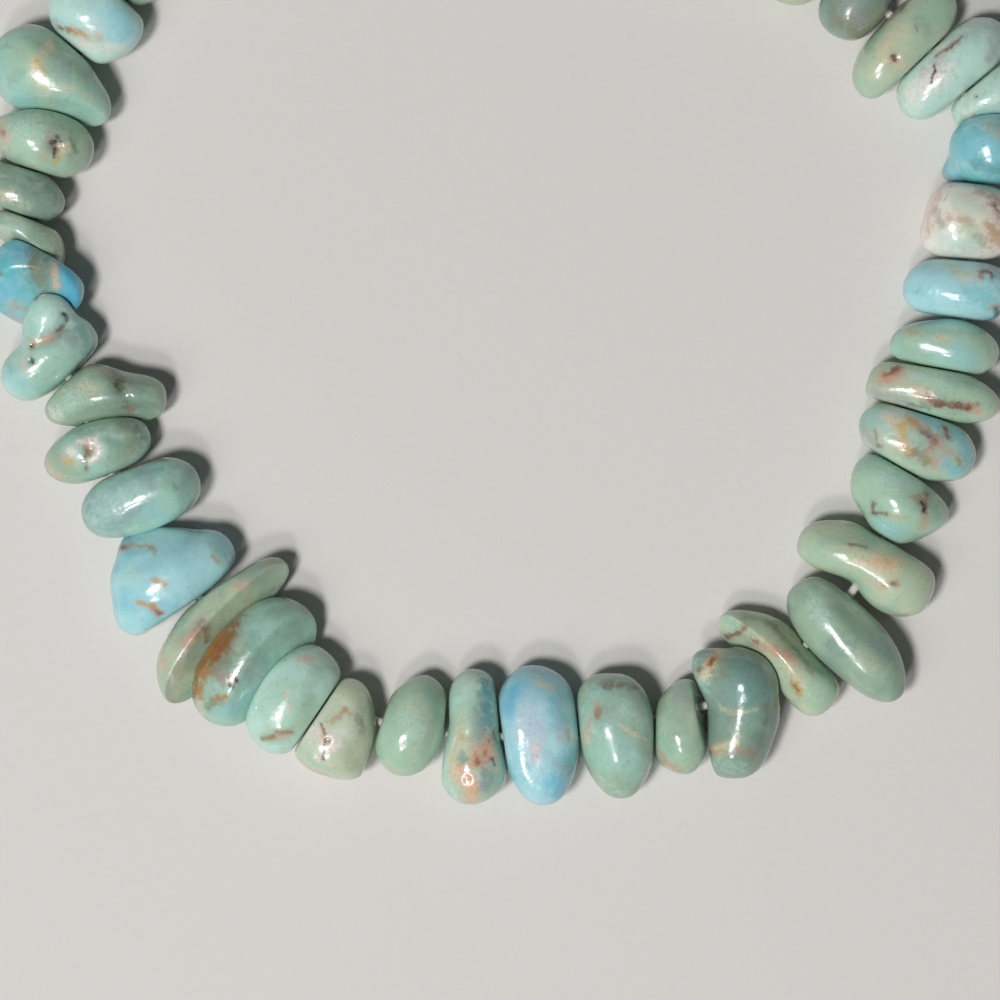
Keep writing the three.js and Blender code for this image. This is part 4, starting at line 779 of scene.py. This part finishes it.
def joined(members):
    """The nuggets of one node as one bmesh, each with a material slot of its own."""
    whole = bmesh.new()
    for index, row in enumerate(members):
        mesh = row["mesh"]
        row["faces"] = [tuple(v.index for v in face.verts) for face in mesh.faces]
        for face in mesh.faces:
            face.material_index = index
        part = bpy.data.meshes.new("part")
        mesh.to_mesh(part)
        mesh.free()
        whole.from_mesh(part)
        bpy.data.meshes.remove(part)
    return whole


def thread_copy(swell=0.0):
    """The frame's thread as a merged bmesh in millimetres, swollen by an amount."""
    mesh = bmesh.new()
    mesh.from_mesh(frame["nodes"]["thread"].data)
    bmesh.ops.remove_doubles(mesh, verts=mesh.verts, dist=MERGE_REACH)
    bmesh.ops.scale(mesh, vec=(1 / METRES,) * 3, verts=mesh.verts)
    bmesh.ops.recalc_face_normals(mesh, faces=mesh.faces)
    mesh.normal_update()
    for v in mesh.verts:
        v.co += v.normal * swell
    return mesh


def object_of(name, mesh, *materials):
    """A new object in the scene, from a bmesh."""
    data = bpy.data.meshes.new(name)
    mesh.to_mesh(data)
    mesh.free()
    for material in materials:
        data.materials.append(material)
    piece = bpy.data.objects.new(name, data)
    bpy.context.scene.collection.objects.link(piece)
    return piece


def drilled(piece, bore):
    """The hole along the thread, cut while the piece is in millimetres, then metres."""
    cut = piece.modifiers.new("bore", "BOOLEAN")
    cut.operation = "DIFFERENCE"
    cut.solver = "EXACT"
    cut.object = bore
    graph = bpy.context.evaluated_depsgraph_get()
    data = bpy.data.meshes.new_from_object(piece.evaluated_get(graph))
    piece.modifiers.clear()
    old, piece.data = piece.data, data
    data.name = piece.name
    bpy.data.meshes.remove(old)
    data.transform(Matrix.Scale(METRES, 4))
    data.shade_smooth()
    data.set_sharp_from_angle(angle=math.radians(SHARP_ANGLE))


def knot_line(middle, half, radius):
    """A round thread of some radius along the line of a knot, which fills a box."""
    line = bpy.data.curves.new("knot", "CURVE")
    line.dimensions = "3D"
    line.bevel_depth = radius
    line.bevel_resolution = KNOT_ROUNDING
    spline = line.splines.new("POLY")
    spline.points.add(KNOT_STEPS - 1)
    spline.use_cyclic_u = True
    for i, point in enumerate(spline.points):
        t = 2 * math.pi * i / KNOT_STEPS
        loops = Vector(((math.sin(t) + 2 * math.sin(2 * t)) / 3,
                        (math.cos(t) - 2 * math.cos(2 * t)) / 3, -math.sin(3 * t)))
        point.co = (*(middle + Vector(a * b for a, b in zip(loops, half))), 1)
    return line


def mesh_of_line(line):
    """A curve as a merged bmesh that faces outwards."""
    shape = bpy.data.objects.new("line", line)
    bpy.context.scene.collection.objects.link(shape)
    graph = bpy.context.evaluated_depsgraph_get()
    data = bpy.data.meshes.new_from_object(shape.evaluated_get(graph))
    bpy.data.objects.remove(shape)
    mesh = bmesh.new()
    mesh.from_mesh(data)
    bpy.data.meshes.remove(data)
    bmesh.ops.remove_doubles(mesh, verts=mesh.verts, dist=MERGE_REACH)
    bmesh.ops.recalc_face_normals(mesh, faces=mesh.faces)
    return mesh


def placed(piece, slot, *nodes):
    """The piece rides with the bracelet and stands for its nodes."""
    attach(piece, "root")
    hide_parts(*nodes)


def slot_of(node):
    """The material slot that the record gives a node."""
    for part in frame["record"]["subparts"]:
        if part["node"] == node:
            return part["material_slot"]
    raise ValueError(f"the record has no slot for {node}")


# ---- node trees ----


def feed(tree, node, inputs):
    """Give a node its inputs; each is a value or another node's socket."""
    for key, value in inputs.items():
        if isinstance(value, bpy.types.NodeSocket):
            tree.links.new(value, node.inputs[key])
        else:
            node.inputs[key].default_value = value


def wire(tree, kind, inputs, **settings):
    """A new node with its settings and its inputs."""
    node = tree.nodes.new(kind)
    for key, value in settings.items():
        setattr(node, key, value)
    feed(tree, node, inputs)
    return node


def calc(tree, operation, *values, clamp=False):
    """A Math node's result."""
    inputs = dict(enumerate(values))
    return wire(tree, "ShaderNodeMath", inputs, operation=operation, use_clamp=clamp).outputs["Value"]


def vector(tree, operation, *values, result="Vector"):
    """A Vector Math node's result, which is a Value for a length or a dot product."""
    inputs = dict(enumerate(values))
    return wire(tree, "ShaderNodeVectorMath", inputs, operation=operation).outputs[result]


def scaled(tree, value, amount):
    """A vector or a colour times an amount."""
    inputs = {0: value, "Scale": amount}
    return wire(tree, "ShaderNodeVectorMath", inputs, operation="SCALE").outputs["Vector"]


def blend(tree, share, under, over):
    """One colour laid over another by a share, through the colour sockets of a Mix node."""
    inputs = {0: share, 6: under, 7: over}
    return wire(tree, "ShaderNodeMix", inputs, data_type="RGBA").outputs[2]


def ramp(tree, value, low, high, out_low=0.0, out_high=1.0):
    """A smooth step of a value between two limits."""
    inputs = {"Value": value, "From Min": low, "From Max": high, "To Min": out_low, "To Max": out_high}
    return wire(tree, "ShaderNodeMapRange", inputs, interpolation_type="SMOOTHSTEP").outputs["Result"]


def grain(tree, place, scale, detail, roughness, distortion=0.0, result="Fac"):
    """Cloudy noise over a place in millimetres."""
    inputs = {"Vector": place, "Scale": scale, "Detail": detail, "Roughness": roughness,
              "Distortion": distortion}
    return wire(tree, "ShaderNodeTexNoise", inputs).outputs[result]


def raised(tree, height):
    """The surface raised by a height in millimetres."""
    return wire(tree, "ShaderNodeBump", {"Height": height, "Distance": METRES}).outputs["Normal"]


def shaded(colour, share=1.0):
    """A share of a plain colour, with an alpha."""
    return (*(channel * share for channel in colour), 1)


def group_of(name, inputs, outputs):
    """An empty node group with its sockets, and its two end nodes."""
    tree = bpy.data.node_groups.new(name, "ShaderNodeTree")
    for label, kind in inputs.items():
        tree.interface.new_socket(label, in_out="INPUT", socket_type=kind)
    for label, kind in outputs.items():
        tree.interface.new_socket(label, in_out="OUTPUT", socket_type=kind)
    return tree, tree.nodes.new("NodeGroupInput"), tree.nodes.new("NodeGroupOutput")


def mark_group():
    """A ragged streak between two places on the surface, laid over a colour."""
    tree, start, end = group_of(
        "stone mark",
        {"Place": VECTOR, "From": VECTOR, "To": VECTOR, "Half": VALUE, "Strength": VALUE,
         "Dull": VALUE, "Ragged": VALUE, "Speck": VALUE, "Tone": COLOUR, "Color": COLOUR, "Matt": VALUE},
        {"Color": COLOUR, "Matt": VALUE})
    get = start.outputs
    line = vector(tree, "SUBTRACT", get["To"], get["From"])
    arm = vector(tree, "SUBTRACT", get["Place"], get["From"])
    along = calc(tree, "DIVIDE", vector(tree, "DOT_PRODUCT", arm, line, result="Value"),
                 vector(tree, "DOT_PRODUCT", line, line, result="Value"), clamp=True)
    off_line = vector(tree, "SUBTRACT", arm, scaled(tree, line, along))
    away = vector(tree, "LENGTH", off_line, result="Value")
    share = calc(tree, "ADD", calc(tree, "DIVIDE", away, get["Half"]), get["Ragged"])
    flecked = ramp(tree, get["Speck"], low=0.34, high=0.60, out_low=0.60)
    core = calc(tree, "MULTIPLY", ramp(tree, share, low=1.95, high=0.25), flecked)
    halo = ramp(tree, share, low=3.4, high=0.8, out_high=HALO_SHARE)
    held = calc(tree, "MULTIPLY", calc(tree, "MAXIMUM", core, halo), get["Strength"])
    dark_specks = ramp(tree, get["Speck"], low=0.52, high=0.36, out_high=0.6)
    tone = blend(tree, dark_specks, get["Tone"], scaled(tree, get["Tone"], DEEP_SHARE))
    matt = calc(tree, "MULTIPLY", held, get["Dull"])
    feed(tree, end, {"Color": blend(tree, held, get["Color"], tone),
                     "Matt": calc(tree, "MAXIMUM", get["Matt"], matt)})
    return tree


def stone_group():
    """The body of a nugget: clouds of tone, fine mottling, flecks and a broken brown web."""
    tree, start, end = group_of(
        "turquoise body",
        {"Place": VECTOR, "Main": COLOUR, "Second": COLOUR, "Cloud": COLOUR, "Share": VALUE,
         "Web": VALUE},
        {"Color": COLOUR, "Height": VALUE, "Matt": VALUE, "Ragged": VALUE, "Speck": VALUE,
         "Warped": VECTOR})
    get = start.outputs
    place = get["Place"]

    broad = grain(tree, place, scale=0.24, detail=4, roughness=0.55, distortion=0.4)
    level = calc(tree, "SUBTRACT", 1.0, get["Share"])
    patch = ramp(tree, calc(tree, "SUBTRACT", broad, level), low=-0.12, high=0.12)
    colour = blend(tree, patch, get["Main"], get["Second"])
    clouds = grain(tree, vector(tree, "ADD", place, CLOUD_SHIFT), scale=0.5, detail=5,
                   roughness=0.6, distortion=0.6)
    colour = blend(tree, ramp(tree, clouds, low=0.52, high=0.74, out_high=0.6), colour, get["Cloud"])

    shade = grain(tree, vector(tree, "ADD", place, SHADE_SHIFT), scale=1.6, detail=6, roughness=0.65)
    shadows = ramp(tree, shade, low=0.42, high=0.25, out_high=0.35)
    colour = blend(tree, shadows, colour, linear(TONES["dark_green"]))
    fine = grain(tree, place, scale=4.5, detail=5, roughness=0.7)
    pale_flecks = ramp(tree, fine, low=0.58, high=0.75, out_high=0.28)
    colour = blend(tree, pale_flecks, colour, linear(TONES["white"]))
    dark_flecks = ramp(tree, fine, low=0.40, high=0.26, out_high=0.3)
    colour = blend(tree, dark_flecks, colour, linear(TONES["dark_olive"]))

    drift = grain(tree, place, scale=0.9, detail=3, roughness=0.6, result="Color")
    drift = scaled(tree, vector(tree, "SUBTRACT", drift, NOISE_MIDDLE), WANDER)
    warped = vector(tree, "ADD", place, drift)
    cells = wire(tree, "ShaderNodeTexVoronoi", {"Vector": warped, "Scale": 0.32},
                 feature="DISTANCE_TO_EDGE")
    thin = ramp(tree, cells.outputs["Distance"], low=0.035, high=0.004)
    broken = ramp(tree, shade, low=0.48, high=0.62)
    web = calc(tree, "MULTIPLY", calc(tree, "MULTIPLY", thin, broken), get["Web"])

    rag = grain(tree, place, scale=2.0, detail=5, roughness=0.66)
    swell = grain(tree, place, scale=1.1, detail=2, roughness=0.45)
    feed(tree, end, {
        "Color": blend(tree, web, colour, linear(TONES["brown"])),
        "Height": calc(tree, "MULTIPLY", swell, SURFACE_HEIGHT),
        "Matt": calc(tree, "MULTIPLY", web, WEB_DULL),
        "Ragged": calc(tree, "MULTIPLY", calc(tree, "SUBTRACT", rag, RAG_MIDDLE), RAG_REACH),
        "Speck": fine,
        "Warped": vector(tree, "ADD", place, scaled(tree, drift, MARK_WANDER))})
    return tree


def material_of(name):
    """A new material, its tree, its shader and a place in millimetres on the object."""
    material = bpy.data.materials.new(name)
    material.use_nodes = True
    tree = material.node_tree
    shader = tree.nodes["Principled BSDF"]
    place = scaled(tree, tree.nodes.new("ShaderNodeTexCoord").outputs["Object"], 1 / METRES)
    return material, tree, shader, place


def surface_place(surface, row, right, up):
    """The place on the upper side, right and up of the nugget's middle, or a little inwards."""
    for share in INWARD_SHARES:
        above = Vector((row["x"] + right * share, row["y"] + up * share, DROP_HEIGHT))
        hit = surface.ray_cast(above, Vector((0, 0, -1)))[0]
        if hit:
            return hit
    raise ValueError(f"nugget {row['number']} has a mark that is off the stone")


def streaks(row):
    """The marks of a nugget from the widest to the finest, as inputs of their group."""
    surface = BVHTree.FromPolygons([tuple(p) for p in row["points"]], row["faces"])
    for mark in sorted(row["marks"], key=lambda m: -m["half"]):
        start = surface_place(surface, row, mark["right"], mark["up"])
        stop = surface_place(surface, row, mark["to_right"], mark["to_up"])
        if (stop - start).length < SHORTEST_MARK:
            stop = start + Vector((SHORTEST_MARK, 0, 0))
        yield {"From": start, "To": stop, "Half": mark["half"], "Strength": mark["strength"],
               "Tone": linear(TONES[mark["tone"]]), "Dull": DULL.get(mark["tone"], 0.0)}


def stone_material(row, finish, body, mark):
    """The polished stone of one nugget, with its charted marks laid on one after another."""
    material, tree, shader, place = material_of(f"turquoise_{row['number']:02d}")
    main, second, cloud = (linear(TONES[row[key]]) for key in ("main", "second", "cloud"))
    stone = {"Place": place, "Main": main, "Second": second, "Cloud": cloud,
             "Share": row["share"], "Web": row["web"]}
    base = wire(tree, "ShaderNodeGroup", stone, node_tree=body)
    last = base
    for streak in streaks(row):
        streak["Place"] = base.outputs["Warped"]
        for key in ("Ragged", "Speck"):
            streak[key] = base.outputs[key]
        for key in ("Color", "Matt"):
            streak[key] = last.outputs[key]
        last = wire(tree, "ShaderNodeGroup", streak, node_tree=mark)
    wear = ramp(tree, grain(tree, place, scale=0.7, detail=4, roughness=0.6), low=0.35, high=0.7,
                out_low=finish.roughness, out_high=finish.roughness + WEAR)
    feed(tree, shader, {
        "Base Color": last.outputs["Color"],
        "Normal": raised(tree, base.outputs["Height"]),
        "Roughness": calc(tree, "ADD", wear, last.outputs["Matt"], clamp=True),
        "IOR": 1.56, "Coat Weight": finish.coat, "Coat Roughness": 0.06,
        "Subsurface Weight": finish.depth, "Subsurface Radius": (0.6, 1.0, 0.9),
        "Subsurface Scale": 0.0006,
    })
    return material


def thread_material(tint):
    """White elastic floss: fine fibres along a soft, slightly clear body."""
    material, tree, shader, place = material_of("elastic_floss")
    fibres = grain(tree, place, scale=6.0, detail=5, roughness=0.7, distortion=1.2)
    feed(tree, shader, {
        "Base Color": blend(tree, ramp(tree, fibres, low=0.35, high=0.65),
                            shaded(tint, 0.82), shaded(tint)),
        "Normal": raised(tree, calc(tree, "MULTIPLY", fibres, FIBRE_HEIGHT)),
        "Roughness": ramp(tree, fibres, low=0.3, high=0.7, out_low=0.32, out_high=0.5),
        "Subsurface Weight": 0.2, "Subsurface Scale": 0.0004})
    return material


def table_material(colour):
    """A plain pale matt board."""
    material, tree, shader, place = material_of("pale_table")
    weave = grain(tree, place, scale=1.4, detail=5, roughness=0.6)
    feed(tree, shader, {
        "Base Color": blend(tree, weave, shaded(colour, 0.97), shaded(colour)),
        "Normal": raised(tree, calc(tree, "MULTIPLY", weave, BOARD_HEIGHT)),
        "Roughness": 0.75})
    return material


# ---- operators ----


class BRACELET_OT_nuggets(bpy.types.Operator):
    """Shape, drill and finish every nugget of the loop, front and back"""
    bl_idname = "bracelet.nuggets"
    bl_label = "Nuggets"

    def execute(self, context):
        finish = context.scene.bracelet_stone
        body, mark = stone_group(), mark_group()
        bore = object_of("bore", thread_copy(BORE_SWELL))
        for node, members in groupby(shaped_loop(finish), key=node_of):
            members = list(members)
            whole = joined(members)
            stones = [stone_material(row, finish, body, mark) for row in members]
            piece = object_of(f"polished_{node}", whole, *stones)
            drilled(piece, bore)
            placed(piece, slot_of(node), node)
        bpy.data.objects.remove(bore)
        return {"FINISHED"}


class BRACELET_OT_thread(bpy.types.Operator):
    """Round off the elastic thread along the route that the frame gives it"""
    bl_idname = "bracelet.thread"
    bl_label = "Thread"

    def execute(self, context):
        mesh = thread_copy()
        bmesh.ops.scale(mesh, vec=(METRES,) * 3, verts=mesh.verts)
        floss = thread_material(context.scene.bracelet_thread.tint)
        piece = object_of("elastic_thread", mesh, floss)
        piece.data.shade_smooth()
        smooth = piece.modifiers.new("round", "SUBSURF")
        smooth.levels = THREAD_ROUNDING
        smooth.render_levels = THREAD_ROUNDING
        placed(piece, slot_of("thread"), "thread")
        return {"FINISHED"}


class BRACELET_OT_knot(bpy.types.Operator):
    """Tie the small knot that closes the thread, in the box that the frame gives it"""
    bl_idname = "bracelet.knot"
    bl_label = "Knot"

    def execute(self, context):
        radius = context.scene.bracelet_thread.knot_thread
        low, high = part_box("knot")
        half = (high - low) / 2 - Vector((radius,) * 3)
        mesh = mesh_of_line(knot_line((low + high) / 2, half, radius))
        piece = object_of("overhand_knot", mesh, bpy.data.materials["elastic_floss"])
        piece.data.shade_smooth()
        placed(piece, slot_of("knot"), "knot")
        return {"FINISHED"}


def add_lamp(row, target):
    """A round lamp that faces the middle of the view."""
    light = bpy.data.lights.new(row["name"], "AREA")
    light.shape = "DISK"
    light.size = row["side"]
    light.energy = row["power"]
    lamp = bpy.data.objects.new(row["name"], light)
    aim = Vector(unit(row["bearing"], row["rise"]))
    lamp.location = target + aim * row["distance"]
    lamp.rotation_euler = aim.to_track_quat("Z", "Y").to_euler()
    lamp.visible_glossy = row["shows"]
    bpy.context.scene.collection.objects.link(lamp)


def add_camera(stage, target):
    """The camera, straight above the middle of the view and looking down."""
    view = bpy.data.cameras.new("camera")
    view.sensor_width = SENSOR
    view.lens = SENSOR * stage.height / stage.view_width
    view.clip_start = NEAR_CLIP
    camera = bpy.data.objects.new("camera", view)
    camera.location = target + Vector((0, 0, stage.height))
    bpy.context.scene.collection.objects.link(camera)
    bpy.context.scene.camera = camera


class BRACELET_OT_stage(bpy.types.Operator):
    """Set up the pale table, the lamps and the camera"""
    bl_idname = "bracelet.stage"
    bl_label = "Stage"

    def execute(self, context):
        scene, stage = context.scene, context.scene.bracelet_stage
        target = Vector(VIEW_MIDDLE) * METRES
        mesh = bmesh.new()
        bmesh.ops.create_grid(mesh, x_segments=1, y_segments=1, size=stage.table_size / 2)
        object_of("table", mesh, table_material(stage.table))
        for row in LAMP_ROWS:
            add_lamp(named(LAMP_COLUMNS, row), target)
        scene.world = bpy.data.worlds.new("soft_room")
        scene.world.use_nodes = True
        tree = scene.world.node_tree
        feed(tree, tree.nodes["Background"], {"Color": ROOM_TONE, "Strength": ROOM_STRENGTH})
        add_camera(stage, target)
        scene.view_settings.view_transform = "Standard"
        return {"FINISHED"}


class BRACELET_PT_panel(bpy.types.Panel):
    """The bracelet's pieces in the order they are made, and their settings"""
    bl_label = "Nugget bracelet"
    bl_space_type = "VIEW_3D"
    bl_region_type = "UI"
    bl_category = "Nugget bracelet"

    def draw(self, context):
        for operator in OPERATORS:
            self.layout.operator(operator.bl_idname)
        for key in SETTINGS:
            owner = getattr(context.scene, key)
            box = self.layout.box()
            for name in owner.bl_rna.properties.keys():
                if name not in ("rna_type", "name"):
                    box.prop(owner, name)


OPERATORS = (BRACELET_OT_nuggets, BRACELET_OT_thread, BRACELET_OT_knot, BRACELET_OT_stage)
SETTINGS = {
    "bracelet_stone": StoneFinish,
    "bracelet_thread": ThreadFinish,
    "bracelet_stage": StageSettings,
}
CLASSES = (*SETTINGS.values(), *OPERATORS, BRACELET_PT_panel)


def register():
    for item in CLASSES:
        bpy.utils.register_class(item)
    for key, group in SETTINGS.items():
        setattr(bpy.types.Scene, key, PointerProperty(type=group))


def unregister():
    for key in SETTINGS:
        delattr(bpy.types.Scene, key)
    for item in reversed(CLASSES):
        bpy.utils.unregister_class(item)


def main():
    register()
    bpy.ops.bracelet.nuggets()
    bpy.ops.bracelet.thread()
    bpy.ops.bracelet.knot()
    bpy.ops.bracelet.stage()
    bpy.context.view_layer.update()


if __name__ == "__main__":
    main()
